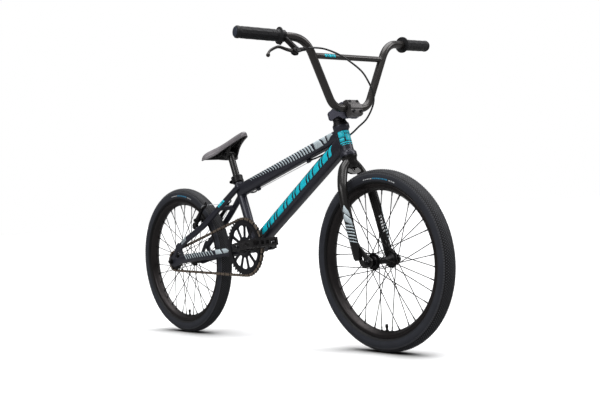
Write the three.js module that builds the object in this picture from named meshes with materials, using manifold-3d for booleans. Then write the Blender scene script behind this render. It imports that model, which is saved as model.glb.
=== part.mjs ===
// A 20-inch BMX bike, built from the separate pieces that it comes apart into.
// Units are millimetres. +X is forward, +Y is the rider's left and +Z is up. The chain is on the right, at -Y.
// The origin is the point on the ground under the middle of the rear tyre.
import * as THREE from 'three';
import { mergeVertices } from 'three/addons/utils/BufferGeometryUtils.js';
import Module from 'manifold-3d';

const wasm = await Module();
wasm.setup();

// ---------------------------------------------------------------- driving dimensions
const GAP = 0.3; // clearance between neighbouring pieces

const TYRE_RADIUS = 247.5;
const TYRE_WIDTH = 45;
const BEAD_RADIUS = 203; // ISO 406 rim
const WHEELBASE = 955;
const WHEEL_FACETS = 28;
const SPOKES_A_SIDE = 18;
const SPOKE_CROSSINGS = 3;
const SPOKE_WIDTH = 2;
const FLANGE_RADIUS = 22.5;
const AXLE_RADIUS = 4.75;
const CONE_RADIUS = 8.2;
const FREEWHEEL_SEAT_RADIUS = 17;
const FRONT_HUB_WIDTH = 100; // between the fork ends
const REAR_HUB_WIDTH = 110; // between the frame's dropouts
const DROPOUT_THICKNESS = 5;

const BB_X = 400; // the crank axle's centre
const BB_Z = 292;
const BB_SHELL_WIDTH = 68;
const BB_SHELL_RADIUS = 20;
const CHAIN_PITCH = 12.7;
const CHAINRING_TEETH = 44;
const COG_TEETH = 16;
const CHAIN_LINE = -45; // y of the middle of the chain
const CHAIN_SLOT = 3.6; // room between the chain's side plates
const CHAIN_WIDTH = 8;
const SPROCKET_THICKNESS = 3;
const CRANK_LENGTH = 175;
const CRANK_ANGLE = 4.5; // degrees that the right arm points above forward
const PEDAL_PITCH = 8; // degrees that the pedals' front edges point up
const PEDAL_INNER = 88; // y where a pedal's cage starts
const PEDAL_WIDTH = 98;

const HEAD_ANGLE = 74; // degrees from the ground
const FORK_RAKE = 22; // the front axle stands this far in front of the steering axis
const HEAD_TUBE_BOTTOM = 308.6; // along the steering axis, from its foot beside the front axle
const HEAD_TUBE_TOP = 397.5;
const HEAD_TUBE_RADIUS = 18.5;
const HEAD_CUP_RADIUS = 23.5;
const BEARING_DEPTH = 8;
const STEERER_RADIUS = 14.3;
const STEERER_TOP = 443;

const SEAT_ANGLE = 70.6;
const SEAT_TUBE_RADIUS = 14.3;
const SEAT_TUBE_LENGTH = 236;
const SEAT_POST_RADIUS = 11.1;
const SEAT_POST_INSERT = 126;
const SEAT_POST_TOP = 318; // along the seat tube from the crank axle
const SADDLE_PIVOT_RADIUS = 12;

const BAR_RADIUS = 11.1;
const BAR_CLAMP = [55, 0, 430]; // handlebar points are [forward, left, up] from the steering axis's foot
const BAR_LOWER_BEND = [55, 64, 430];
const BAR_UPPER_BEND = [110, 153, 607.5];
const BAR_END = [77.3, 356, 628.1];
const BAR_CROSS_SHARE = 0.754; // how far up the uprights the crossbar sits
const GRIP_LENGTH = 128;

const BRAKE_POST_RADIUS = 173.75; // from the rear axle out to a brake arm's pivot
const BRAKE_ANGLE = 42.55; // degrees above forward at which the brake stands round the wheel
const BRAKE_POST_SPREAD = 40; // y of the pivots
const BRAKE_SHOE_RADIUS = 201;
const BRAKE_OFFSET = 24; // from the stay's middle to the middle of an arm
const LEVER_PIVOT = [118, -210, 561];

const HOUSING_RADIUS = 2.5;

// ---------------------------------------------------------------- colours
const finish = (color, roughness, metalness) => new THREE.MeshStandardMaterial({ color, roughness, metalness });
const FRAME_PAINT = finish(0x2b2d33, 0.42, 0.3);
const BLACK_PAINT = finish(0x242322, 0.4, 0.3);
const STEM_METAL = finish(0x5a5a5e, 0.4, 0.7);
const BLACK_METAL = finish(0x1c1c1e, 0.45, 0.7);
const BOLT_METAL = finish(0x2e2e30, 0.35, 0.9);
const SPOKE_STEEL = finish(0x8d8f93, 0.35, 0.9);
const CHAIN_STEEL = finish(0x6b5a4a, 0.4, 0.9);
const BRIGHT_STEEL = finish(0xb4b6ba, 0.3, 1);
const TYRE_RUBBER = finish(0x34363a, 0.85, 0);
const GRIP_RUBBER = finish(0x1e1e20, 0.8, 0);
const SADDLE_PLASTIC = finish(0x4b4b50, 0.35, 0);
const PEDAL_PLASTIC = finish(0x1f1f20, 0.6, 0);
const RUBBER_BLACK = finish(0x18181a, 0.8, 0);

// ---------------------------------------------------------------- solids
const radians = THREE.MathUtils.degToRad;
const vector = (point) => new THREE.Vector3(...point);
const ACROSS = new THREE.Vector3(0, 1, 0);

function signedVolume(points, corners) {
  const at = (i) => new THREE.Vector3().fromArray(points, 3 * corners[i]);
  let sum = 0;
  for (let i = 0; i < corners.length; i += 3) sum += at(i).dot(at(i + 1).cross(at(i + 2)));
  return sum / 6;
}

/** A closed three.js geometry as a solid that can be joined and cut. */
function solid(geometry) {
  const bare = geometry.clone();
  bare.deleteAttribute('normal');
  bare.deleteAttribute('uv');
  const merged = mergeVertices(bare, 1e-3);
  const points = merged.attributes.position.array;
  const index = merged.index.array;
  const corners = [];
  for (let i = 0; i < index.length; i += 3) {
    const [a, b, c] = index.subarray(i, i + 3);
    if (a !== b && b !== c && c !== a) corners.push(a, b, c);
  }
  if (signedVolume(points, corners) < 0) corners.reverse();
  const mesh = { numProp: 3, vertProperties: Float32Array.from(points), triVerts: Uint32Array.from(corners) };
  return new wasm.Manifold(new wasm.Mesh(mesh));
}

const join = (first, ...others) => others.reduce((whole, one) => whole.add(one), first);
const cut = (first, ...tools) => tools.reduce((whole, one) => whole.subtract(one), first);

function geometryOf(shape) {
  const mesh = shape.getMesh();
  const geometry = new THREE.BufferGeometry();
  geometry.setAttribute('position', new THREE.BufferAttribute(new Float32Array(mesh.vertProperties), 3));
  geometry.setIndex(new THREE.BufferAttribute(new Uint32Array(mesh.triVerts), 1));
  geometry.computeVertexNormals();
  return geometry;
}

/** A round or polygonal bar between two points. */
function rod(from, to, radius, sides = 16, endRadius = radius) {
  const start = vector(from);
  const span = vector(to).sub(start);
  const geometry = new THREE.CylinderGeometry(endRadius, radius, span.length(), sides);
  geometry.translate(0, span.length() / 2, 0);
  geometry.applyQuaternion(new THREE.Quaternion().setFromUnitVectors(ACROSS, span.normalize()));
  geometry.translate(start.x, start.y, start.z);
  return solid(geometry);
}

/** A profile of [radius, distance along] points turned about the line from a point in a direction. */
function turned(profile, from = [0, 0, 0], direction = [0, 1, 0], facets = 20) {
  const points = profile.map(([radius, along]) => new THREE.Vector2(radius, along));
  const geometry = new THREE.LatheGeometry(points, facets, Math.PI / facets);
  const turn = new THREE.Quaternion().setFromUnitVectors(ACROSS, vector(direction).normalize());
  geometry.applyQuaternion(turn);
  geometry.translate(...from);
  return solid(geometry);
}

/** A hollow ring: a rectangle turned about a line. */
function ring(inner, outer, start, end, from, direction, facets = 20) {
  const profile = [[inner, start], [outer, start], [outer, end], [inner, end], [inner, start]];
  return turned(profile, from, direction, facets);
}

/**
 * A bar bent through a list of stations. `section(x, z, share)` turns a point of the unit circle into an offset
 * [across, other]; `share` runs from 0 at the first station to 1 at the last. A number is a plain round radius.
 */
function bent(stations, section, { sides = 12, across = [0, 1, 0] } = {}) {
  const points = stations.map(vector);
  const last = points.length - 1;
  const place = typeof section === 'number' ? (x, z) => [section * x, section * z] : section;
  const geometry = new THREE.CylinderGeometry(1, 1, 1, sides, last);
  const position = geometry.attributes.position;
  let side = vector(across);
  const frames = points.map((point, i) => {
    const tangent = points[Math.min(i + 1, last)].clone().sub(points[Math.max(i - 1, 0)]).normalize();
    side = side.clone().addScaledVector(tangent, -side.dot(tangent)).normalize();
    return { point, side, other: tangent.clone().cross(side) };
  });
  for (let i = 0; i < position.count; i += 1) {
    const station = Math.round((0.5 - position.getY(i)) * last);
    const { point, side: u, other: v } = frames[station];
    const [a, b] = place(position.getX(i), position.getZ(i), station / last);
    const placed = point.clone().addScaledVector(u, a).addScaledVector(v, b);
    position.setXYZ(i, placed.x, placed.y, placed.z);
  }
  return solid(geometry);
}

/** A section for `bent` that is an oval, with its half sizes running between the two ends. */
function oval([acrossStart, otherStart], [acrossEnd, otherEnd] = [acrossStart, otherStart]) {
  const mix = THREE.MathUtils.lerp;
  return (x, z, share) => [x * mix(acrossStart, acrossEnd, share), z * mix(otherStart, otherEnd, share)];
}

/** Points spaced evenly on a smooth curve through the given points. */
function smooth(points, count) {
  const curve = new THREE.CatmullRomCurve3(points.map(vector), false, 'centripetal');
  return curve.getSpacedPoints(count).map((point) => point.toArray());
}

/** A flat outline of [x, z] points with round or many-sided holes, standing between two values of y. */
function plate(outline, lowY, highY, holes = []) {
  const shape = new THREE.Shape(outline.map(([x, z]) => new THREE.Vector2(x, z)));
  shape.holes = holes.map((hole) => new THREE.Path(hole.map(([x, z]) => new THREE.Vector2(x, z))));
  const geometry = new THREE.ExtrudeGeometry(shape, { depth: highY - lowY, bevelEnabled: false });
  geometry.rotateX(Math.PI / 2);
  geometry.translate(0, highY, 0);
  return solid(geometry);
}

const polar = (x, z, radius, degrees) => [
  x + radius * Math.cos(radians(degrees)),
  z + radius * Math.sin(radians(degrees)),
];
const arc = (x, z, radius, start, end, steps) => Array.from(
  { length: steps + 1 },
  (_, i) => polar(x, z, radius, start + ((end - start) * i) / steps),
);

/** Swaps left and right. */
const mirrored = (shape) => shape.mirror([0, 1, 0]);

// ---------------------------------------------------------------- places
const FRONT_AXLE = [WHEELBASE, TYRE_RADIUS];
const REAR_AXLE = [0, TYRE_RADIUS];
const headLean = radians(90 - HEAD_ANGLE);
const HEAD_UP = [-Math.sin(headLean), 0, Math.cos(headLean)];
const HEAD_FORWARD = [Math.cos(headLean), 0, Math.sin(headLean)];
const HEAD_FOOT = [WHEELBASE - FORK_RAKE * HEAD_FORWARD[0], 0, TYRE_RADIUS - FORK_RAKE * HEAD_FORWARD[2]];

/** The place of a point given as [forward, left, up] from the steering axis's foot. */
const onHead = ([forward, left, up]) => [
  HEAD_FOOT[0] + forward * HEAD_FORWARD[0] + up * HEAD_UP[0],
  left,
  HEAD_FOOT[2] + forward * HEAD_FORWARD[2] + up * HEAD_UP[2],
];
const SEAT_UP = [-Math.cos(radians(SEAT_ANGLE)), 0, Math.sin(radians(SEAT_ANGLE))];
const onSeatTube = (up, y = 0) => [BB_X + up * SEAT_UP[0], y, BB_Z + up * SEAT_UP[2]];

const brakeOut = [Math.cos(radians(BRAKE_ANGLE)), Math.sin(radians(BRAKE_ANGLE))];
/** A place round the rear wheel's brake: distance from the axle, y, and distance behind the arms' plane. */
const onBrake = (out, y, behind) => [
  out * brakeOut[0] - behind * brakeOut[1],
  y,
  TYRE_RADIUS + out * brakeOut[1] + behind * brakeOut[0],
];

const crankEnd = (side) => {
  const angle = radians(CRANK_ANGLE + (side > 0 ? 180 : 0));
  return [BB_X + CRANK_LENGTH * Math.cos(angle), BB_Z + CRANK_LENGTH * Math.sin(angle)];
};

// ---------------------------------------------------------------- wheels
const FACET_SCALE = 1 / Math.cos(Math.PI / WHEEL_FACETS); // puts the flats, not the corners, on the stated radius

function wheelRing(halfProfile, [x, z]) {
  const left = halfProfile.map(([radius, y]) => [radius * FACET_SCALE, y]);
  const right = left.map(([radius, y]) => [radius, -y]).reverse();
  const outline = [...left, ...right];
  return turned([...outline, outline[0]], [x, 0, z], [0, 1, 0], WHEEL_FACETS);
}

/** An open tyre: the crown, the sidewall, the bead, and back along the inside. */
function tyre(axle) {
  const half = TYRE_WIDTH / 2;
  return wheelRing([
    [TYRE_RADIUS - 5, 4],
    [TYRE_RADIUS - 20, half * 0.72],
    [BEAD_RADIUS + 1, 8.8],
    [BEAD_RADIUS + 1, 12.4],
    [BEAD_RADIUS + 6.8, 12.4],
    [BEAD_RADIUS + 11, half * 0.86],
    [TYRE_RADIUS - 22, half],
    [TYRE_RADIUS - 9, half * 0.8],
    [TYRE_RADIUS, 4],
  ], axle);
}

/** A single-wall rim, open between its two walls. */
function rim(axle) {
  return wheelRing([
    [BEAD_RADIUS - 12.5, 4],
    [BEAD_RADIUS - 4, 15],
    [BEAD_RADIUS + 6.2, 15.5],
    [BEAD_RADIUS + 6.2, 12.9],
    [BEAD_RADIUS + 0.4, 12.9],
    [BEAD_RADIUS - 9, 5],
  ], axle);
}

/** One side's spokes. Leading and trailing spokes cross and touch, so the set is a single cone-shaped lattice. */
function spokes([x, z], hubY, rimY) {
  const pitch = 360 / SPOKES_A_SIDE;
  const hubRadius = FLANGE_RADIUS + 1;
  const rimRadius = BEAD_RADIUS - 13.2;
  const half = SPOKE_WIDTH / 2;
  const strips = Array.from({ length: SPOKES_A_SIDE }, (_, i) => {
    const lean = (i % 2 ? 1 : -1) * SPOKE_CROSSINGS * pitch;
    const rimAngle = (i + (hubY > 0 ? 0.75 : 0.25)) * pitch;
    const [fromX, fromZ] = polar(0, 0, hubRadius, rimAngle + lean);
    const [toX, toZ] = polar(0, 0, rimRadius, rimAngle);
    const length = Math.hypot(toX - fromX, toZ - fromZ);
    const [sideX, sideZ] = [(-half * (toZ - fromZ)) / length, (half * (toX - fromX)) / length];
    return plate([
      [fromX + sideX, fromZ + sideZ], [fromX - sideX, fromZ - sideZ],
      [toX - sideX, toZ - sideZ], [toX + sideX, toZ + sideZ],
    ], -half, half);
  });
  const lattice = geometryOf(join(...strips));
  const position = lattice.attributes.position;
  for (let i = 0; i < position.count; i += 1) {
    const radius = Math.hypot(position.getX(i), position.getZ(i));
    const share = (radius - hubRadius) / (rimRadius - hubRadius);
    position.setY(i, position.getY(i) + THREE.MathUtils.lerp(hubY, rimY, share));
  }
  return solid(lattice).translate([x, 0, z]);
}

function hub([x, z], rightFlange, leftFlange, halfWidth, driveThread) {
  const barrel = 9;
  const shoulder = 13;
  const rightRadius = driveThread ? FREEWHEEL_SEAT_RADIUS : shoulder;
  const outer = [[rightRadius, -halfWidth], [rightRadius, rightFlange - 1.5]];
  const bore = CONE_RADIUS + 0.5;
  return turned([
    ...outer,
    [FLANGE_RADIUS, rightFlange - 1.5],
    [FLANGE_RADIUS, rightFlange + 1.5],
    [barrel, rightFlange + 8],
    [barrel, leftFlange - 8],
    [FLANGE_RADIUS, leftFlange - 1.5],
    [FLANGE_RADIUS, leftFlange + 1.5],
    [shoulder, leftFlange + 1.5],
    [shoulder, halfWidth],
    [bore, halfWidth],
    [bore, 32],
    [AXLE_RADIUS + 1, 28],
    [AXLE_RADIUS + 1, -28],
    [bore, -32],
    [bore, -halfWidth],
    outer[0],
  ], [x, 0, z], [0, 1, 0], 14);
}

/** An axle with the bearing cones and locknuts that are screwed onto it. */
function axle([x, z], betweenEnds, overhang) {
  const inner = betweenEnds / 2 - GAP;
  const end = betweenEnds / 2 + overhang;
  const half = [[CONE_RADIUS, 34], [CONE_RADIUS, inner], [AXLE_RADIUS, inner], [AXLE_RADIUS, end], [0, end]];
  const other = half.map(([radius, y]) => [radius, -y]).reverse();
  return turned([...other, [AXLE_RADIUS, -30], [AXLE_RADIUS, 30], ...half], [x, 0, z], [0, 1, 0], 10);
}

/** An axle nut with its washer, outside a dropout, on the side given by the sign. */
function axleNut([x, z], faceY, side) {
  const washer = rod([x, side * faceY, z], [x, side * (faceY + 2), z], 10.5, 12);
  const nut = rod([x, side * (faceY + 1), z], [x, side * (faceY + 9), z], 8.6, 6);
  const hole = rod([x, side * (faceY - 1), z], [x, side * (faceY + 10), z], AXLE_RADIUS + 2 * GAP, 10);
  return cut(join(washer, nut), hole);
}

/** A Schrader valve that comes through the rim towards the axle. */
function valve([x, z]) {
  const top = BEAD_RADIUS - 14;
  return rod([x, 0, z - top], [x, 0, z - top + 28], 3.6, 10, 3);
}

// ---------------------------------------------------------------- drive
function sprocketOutline([x, z], teeth, phase) {
  const pitchRadius = CHAIN_PITCH / (2 * Math.sin(Math.PI / teeth));
  const root = pitchRadius - 3.8;
  const tip = pitchRadius + 2.7;
  const shares = [[-0.5, root], [-0.14, tip], [0.14, tip]];
  const points = [];
  for (let i = 0; i < teeth; i += 1) {
    for (const [share, radius] of shares) {
      const angle = phase + ((i + 0.5 + share) * 2 * Math.PI) / teeth;
      points.push([x + radius * Math.cos(angle), z + radius * Math.sin(angle)]);
    }
  }
  return points;
}

const CHAIN_RISE = Math.atan2(BB_Z - TYRE_RADIUS, BB_X);
const CHAIN_SPAN = Math.hypot(BB_X, BB_Z - TYRE_RADIUS);
const RING_PITCH_RADIUS = CHAIN_PITCH / (2 * Math.sin(Math.PI / CHAINRING_TEETH));
const COG_PITCH_RADIUS = CHAIN_PITCH / (2 * Math.sin(Math.PI / COG_TEETH));

/** A chainring with eleven windows between its arms. */
function chainring() {
  const windows = 11;
  const innerEdge = 31;
  const outerEdge = 66;
  const armWidth = 9;
  const holes = Array.from({ length: windows }, (_, i) => {
    const middle = 102 + (360 / windows) * i;
    const half = 180 / windows;
    const innerHalf = half - THREE.MathUtils.radToDeg(Math.asin(armWidth / 2 / innerEdge));
    const outerHalf = half - THREE.MathUtils.radToDeg(Math.asin(armWidth / 2 / outerEdge));
    return [
      ...arc(BB_X, BB_Z, innerEdge, middle - innerHalf, middle + innerHalf, 1),
      polar(BB_X, BB_Z, outerEdge - 5, middle + outerHalf),
      ...arc(BB_X, BB_Z, outerEdge, middle + outerHalf * 0.6, middle - outerHalf * 0.6, 2),
      polar(BB_X, BB_Z, outerEdge - 5, middle - outerHalf),
    ];
  });
  const bore = arc(BB_X, BB_Z, 14.5, 0, 337.5, 15);
  const half = SPROCKET_THICKNESS / 2;
  const outline = sprocketOutline([BB_X, BB_Z], CHAINRING_TEETH, CHAIN_RISE);
  return plate(outline, CHAIN_LINE - half, CHAIN_LINE + half, [...holes, bore]);
}

/** The freewheel: a toothed cog on a body that is screwed onto the rear hub. */
function freewheel() {
  const half = SPROCKET_THICKNESS / 2;
  const hole = arc(...REAR_AXLE, 21, 0, 330, 11);
  const cog = plate(sprocketOutline(REAR_AXLE, COG_TEETH, CHAIN_RISE), CHAIN_LINE - half, CHAIN_LINE + half, [hole]);
  const body = ring(FREEWHEEL_SEAT_RADIUS + 2 * GAP, 24, -50, -38, [0, 0, TYRE_RADIUS], [0, 1, 0], 14);
  return join(cog, body);
}

/** The closed loop that runs a set distance outside the chain's pitch line. */
function chainLoop(offset) {
  const wrap = 180 - THREE.MathUtils.radToDeg(Math.acos((RING_PITCH_RADIUS - COG_PITCH_RADIUS) / CHAIN_SPAN));
  const tilt = THREE.MathUtils.radToDeg(CHAIN_RISE);
  return [
    ...arc(BB_X, BB_Z, RING_PITCH_RADIUS + offset, tilt - wrap, tilt + wrap, 22),
    ...arc(...REAR_AXLE, COG_PITCH_RADIUS + offset, tilt + wrap, tilt + 360 - wrap, 12),
  ];
}

/** The chain as a band of U section: two rows of side plates joined outside the teeth. */
function chain() {
  const plateHalf = 4.2;
  const webInner = 3.1;
  const band = plate(
    chainLoop(plateHalf),
    CHAIN_LINE - CHAIN_WIDTH / 2,
    CHAIN_LINE + CHAIN_WIDTH / 2,
    [chainLoop(-plateHalf)],
  );
  const slot = plate(
    chainLoop(webInner),
    CHAIN_LINE - CHAIN_SLOT / 2,
    CHAIN_LINE + CHAIN_SLOT / 2,
    [chainLoop(-plateHalf - 1)],
  );
  return cut(band, slot);
}

const CRANK_INNER = 52; // y of the arms' inner faces at the crank axle
const CRANK_THICKNESS = 15;
const PEDAL_EYE_INNER = 66;

function crankArm(side) {
  const [endX, endZ] = crankEnd(side);
  const middle = CRANK_INNER + CRANK_THICKNESS / 2;
  const eye = PEDAL_EYE_INNER + 6.5;
  const arm = bent(
    [
      [BB_X, side * middle, BB_Z],
      [BB_X + (endX - BB_X) * 0.25, side * (middle + 1), BB_Z + (endZ - BB_Z) * 0.25],
      [BB_X + (endX - BB_X) * 0.75, side * (eye - 1), BB_Z + (endZ - BB_Z) * 0.75],
      [endX, side * eye, endZ],
    ],
    oval([7, 14], [6, 11]),
    { sides: 8 },
  );
  const boss = rod([BB_X, side * CRANK_INNER, BB_Z], [BB_X, side * (CRANK_INNER + CRANK_THICKNESS), BB_Z], 16, 14);
  const eyeBoss = rod([endX, side * PEDAL_EYE_INNER, endZ], [endX, side * (PEDAL_EYE_INNER + 13), endZ], 12.5, 12);
  const spindleHole = rod([BB_X, side * 40, BB_Z], [BB_X, side * 80, BB_Z], 8.5 + 2 * GAP, 12);
  const pedalHole = rod([endX, side * 55, endZ], [endX, side * 90, endZ], 7 + 2 * GAP, 10);
  return cut(join(arm, boss, eyeBoss), spindleHole, pedalHole);
}

function spindle() {
  const end = CRANK_INNER + CRANK_THICKNESS - 3;
  return turned([[0, -end], [8.5, -end], [8.5, end], [0, end]], [BB_X, 0, BB_Z], [0, 1, 0], 12);
}

/** A bottom bracket cup with its cartridge bearing, screwed into the frame's shell. */
function bottomBracketCup(side) {
  const profile = [[9, 12], [17, 12], [17, 34.3], [20, 34.3], [20, 38], [9, 38], [9, 12]];
  return turned(profile.map(([radius, y]) => [radius, side * y]), [BB_X, 0, BB_Z], [0, 1, 0], 14);
}

function pedalAxle(side) {
  const [x, z] = crankEnd(side);
  const profile = [[0, 66.5], [7, 66.5], [7, 80], [7.8, 80], [7.8, 84], [5, 86], [4.5, 178], [0, 178]];
  return turned(profile.map(([radius, y]) => [radius, side * y]), [x, 0, z], [0, 1, 0], 10);
}

/** A platform pedal: a cage round a core that turns on the axle. */
function pedal(side) {
  const [x, z] = crankEnd(side);
  const length = 95;
  const height = 25;
  const outerY = PEDAL_INNER + PEDAL_WIDTH;
  const half = length / 2;
  const outline = [[-half, -8], [-half + 7, -height / 2], [half - 7, -height / 2], [half, -8],
    [half, 8], [half - 7, height / 2], [-half + 7, height / 2], [-half, 8]];
  const box = (x0, x1, y0, y1) => new THREE.BoxGeometry(x1 - x0, y1 - y0, 60)
    .translate((x0 + x1) / 2, (y0 + y1) / 2, 0);
  let body = plate(outline, PEDAL_INNER, outerY);
  for (const [x0, x1] of [[-half + 8, -14], [14, half - 8]]) {
    body = cut(body, solid(box(x0, x1, PEDAL_INNER + 9, PEDAL_INNER + PEDAL_WIDTH / 2 - 4)));
    body = cut(body, solid(box(x0, x1, PEDAL_INNER + PEDAL_WIDTH / 2 + 4, outerY - 9)));
  }
  body = cut(body, rod([0, PEDAL_INNER - 5, 0], [0, 179, 0], 5.8, 10));
  if (side < 0) body = mirrored(body);
  return body.rotate([0, -PEDAL_PITCH, 0]).translate([x, 0, z]);
}

// ---------------------------------------------------------------- frame
const DOWN_TUBE_START = [BB_X + 8, 0, BB_Z + 6];
const DOWN_TUBE_END = onHead([0, 0, 351]);
const TOP_TUBE_START = onSeatTube(188);
const TOP_TUBE_END = onHead([0, 0, 376]);
const SEAT_STAY = [[348, 14, 484], [257, 31, 418], [174, 43, 362], [89, 55, 318], [42, 58, 288]];
const CHAIN_STAY = [[392, 20, 285], [330, 29, 280], [285, 35, 275], [210, 51, 268], [120, 57, 260], [55, 58, 252]];
const CABLE_STOPS = [[678, 0, 538], [433, 0, 470]];

const mixPoints = (a, b, share) => a.map((value, i) => value + (b[i] - value) * share);

/** A rear dropout: an axle boss, a foot for each stay, and a window between them. */
function dropout() {
  const low = REAR_HUB_WIDTH / 2;
  const outline = [
    ...arc(...REAR_AXLE, 16, 120, 280, 8),
    [30, 233], [72, 240], [72, 268], [60, 300], [48, 310], [28, 296],
  ];
  const windowHole = [[22, 264], [52, 268], [42, 286]];
  return plate(outline, low, low + DROPOUT_THICKNESS, [windowHole]);
}

function rearTriangleSide() {
  const seatStay = bent(SEAT_STAY, oval([8, 10], [6, 11]), { sides: 8 });
  const chainStay = bent(CHAIN_STAY, oval([7, 13], [6, 14.5]), { sides: 8 });
  const brakeBase = onBrake(BRAKE_POST_RADIUS, BRAKE_POST_SPREAD, -BRAKE_OFFSET);
  const brakeShoulder = onBrake(BRAKE_POST_RADIUS, BRAKE_POST_SPREAD, -8);
  const brakePin = onBrake(BRAKE_POST_RADIUS, BRAKE_POST_SPREAD, 7);
  return join(
    seatStay,
    chainStay,
    dropout(),
    rod(brakeBase, brakeShoulder, 8, 8),
    rod(brakeBase, brakePin, 4, 6),
  );
}

function frame() {
  const headTube = turned([
    [0, HEAD_TUBE_BOTTOM], [HEAD_CUP_RADIUS, HEAD_TUBE_BOTTOM], [HEAD_CUP_RADIUS, HEAD_TUBE_BOTTOM + 9],
    [HEAD_TUBE_RADIUS, HEAD_TUBE_BOTTOM + 13], [HEAD_TUBE_RADIUS, HEAD_TUBE_TOP - 12],
    [HEAD_CUP_RADIUS, HEAD_TUBE_TOP - 8], [HEAD_CUP_RADIUS, HEAD_TUBE_TOP], [0, HEAD_TUBE_TOP],
  ], HEAD_FOOT, HEAD_UP, 16);
  const downTube = bent([DOWN_TUBE_START, DOWN_TUBE_END], oval([19.5, 20.5], [17.5, 25]));
  const topMiddle = mixPoints(TOP_TUBE_START, TOP_TUBE_END, 0.6);
  const topTube = join(
    bent([TOP_TUBE_START, topMiddle], oval([15, 20.5], [16.5, 17.5])),
    bent([topMiddle, TOP_TUBE_END], oval([16.5, 17.5], [16.5, 18])),
  );
  const seatTube = rod(onSeatTube(0), onSeatTube(SEAT_TUBE_LENGTH), SEAT_TUBE_RADIUS);
  const shell = rod([BB_X, -BB_SHELL_WIDTH / 2, BB_Z], [BB_X, BB_SHELL_WIDTH / 2, BB_Z], BB_SHELL_RADIUS, 16);
  const side = rearTriangleSide();
  const bridges = [
    rod([257, -31, 418], [257, 31, 418], 8, 8),
    rod([330, -30, 280], [330, 30, 280], 7, 8),
  ];
  const stops = CABLE_STOPS.map(([x, y, z]) => join(
    rod([x - 6, y, z - 1.6], [x + 6, y, z + 1.6], 5, 8),
    rod([x, y, z], [x, y, z + 14], 3.5, 6),
  ));
  const whole = join(headTube, downTube, topTube, seatTube, shell, side, mirrored(side), ...bridges, ...stops);

  const steererBore = rod(onHead([0, 0, 290]), onHead([0, 0, 420]), STEERER_RADIUS + 1.2, 14);
  const bearingSeats = [
    rod(onHead([0, 0, 290]), onHead([0, 0, HEAD_TUBE_BOTTOM + BEARING_DEPTH]), 21.1, 16),
    rod(onHead([0, 0, HEAD_TUBE_TOP - BEARING_DEPTH]), onHead([0, 0, 420]), 21.1, 16),
  ];
  const postBore = rod(onSeatTube(54), onSeatTube(SEAT_TUBE_LENGTH + 10), SEAT_POST_RADIUS + GAP, 14);
  const shellBore = rod([BB_X, -50, BB_Z], [BB_X, 50, BB_Z], 17.6, 14);
  const downTubeCore = bent([DOWN_TUBE_START, DOWN_TUBE_END], oval([17, 18], [15, 22.5]), { sides: 8 });
  const topTubeCore = bent(
    [mixPoints(TOP_TUBE_START, TOP_TUBE_END, 0.07), TOP_TUBE_END],
    oval([12.5, 17], [14, 15]),
    { sides: 8 },
  );
  const axleHole = rod([0, -70, TYRE_RADIUS], [0, 70, TYRE_RADIUS], AXLE_RADIUS + 2 * GAP, 10);
  const cableHole = rod([420, 0, 466.5], [700, 0, 540.9], 1.6, 6);
  const hollows = [steererBore, ...bearingSeats, postBore, shellBore, downTubeCore, topTubeCore];
  return cut(whole, ...hollows, axleHole, cableHole);
}

const headsetBearing = (start) => ring(STEERER_RADIUS + 2 * GAP, 20.6, start, start + 7, HEAD_FOOT, HEAD_UP, 14);

function seatClamp() {
  const inner = SEAT_TUBE_RADIUS + GAP;
  const collar = rod(onSeatTube(216), onSeatTube(SEAT_TUBE_LENGTH + 2), inner + 4.2, 16);
  const ears = rod(onSeatTube(220), onSeatTube(234), 9, 8).translate([-19 * SEAT_UP[2], 0, 19 * SEAT_UP[0]]);
  const tube = rod(onSeatTube(200), onSeatTube(SEAT_TUBE_LENGTH + GAP), inner, 16);
  const postHole = rod(onSeatTube(200), onSeatTube(250), SEAT_POST_RADIUS + 2 * GAP, 14);
  return cut(join(collar, ears), tube, postHole, seatClampBolt(2 * GAP, 12));
}

/** The pinch bolt behind the seat post; `extra` swells it to cut its own hole. */
function seatClampBolt(extra = 0, reach = 0) {
  const middle = onSeatTube(227);
  const x = middle[0] - 21 * SEAT_UP[2];
  const z = middle[2] + 21 * SEAT_UP[0];
  const shank = rod([x, -13 - reach, z], [x, 14 + reach, z], 2.8 + extra, 8);
  const head = rod([x, -16 - reach, z], [x, -9.5 + extra, z], 5 + extra, 10);
  return join(shank, head);
}

// ---------------------------------------------------------------- seat
function seatPost() {
  const top = onSeatTube(SEAT_POST_TOP);
  const bar = rod(onSeatTube(SEAT_TUBE_LENGTH - SEAT_POST_INSERT), top, SEAT_POST_RADIUS, 14);
  const bore = rod(onSeatTube(SEAT_TUBE_LENGTH - SEAT_POST_INSERT - 5), onSeatTube(SEAT_POST_TOP - 22), 8.6, 10);
  const head = rod([top[0], -15, top[2]], [top[0], 15, top[2]], SADDLE_PIVOT_RADIUS, 16);
  return cut(join(bar, head), bore);
}

/** The saddle's stations, from tail to nose: x, crest height, half width, depth of the skirt. */
const SADDLE_STATIONS = [
  [186, 592, 26, 12],
  [196, 597, 42, 20],
  [212, 603, 56, 28],
  [238, 609, 68, 34],
  [268, 619, 49, 33],
  [300, 631, 33, 28],
  [330, 643, 22, 25],
  [358, 652, 15, 22],
  [374, 655, 12, 19],
  [382, 651, 6, 11],
];

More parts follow.
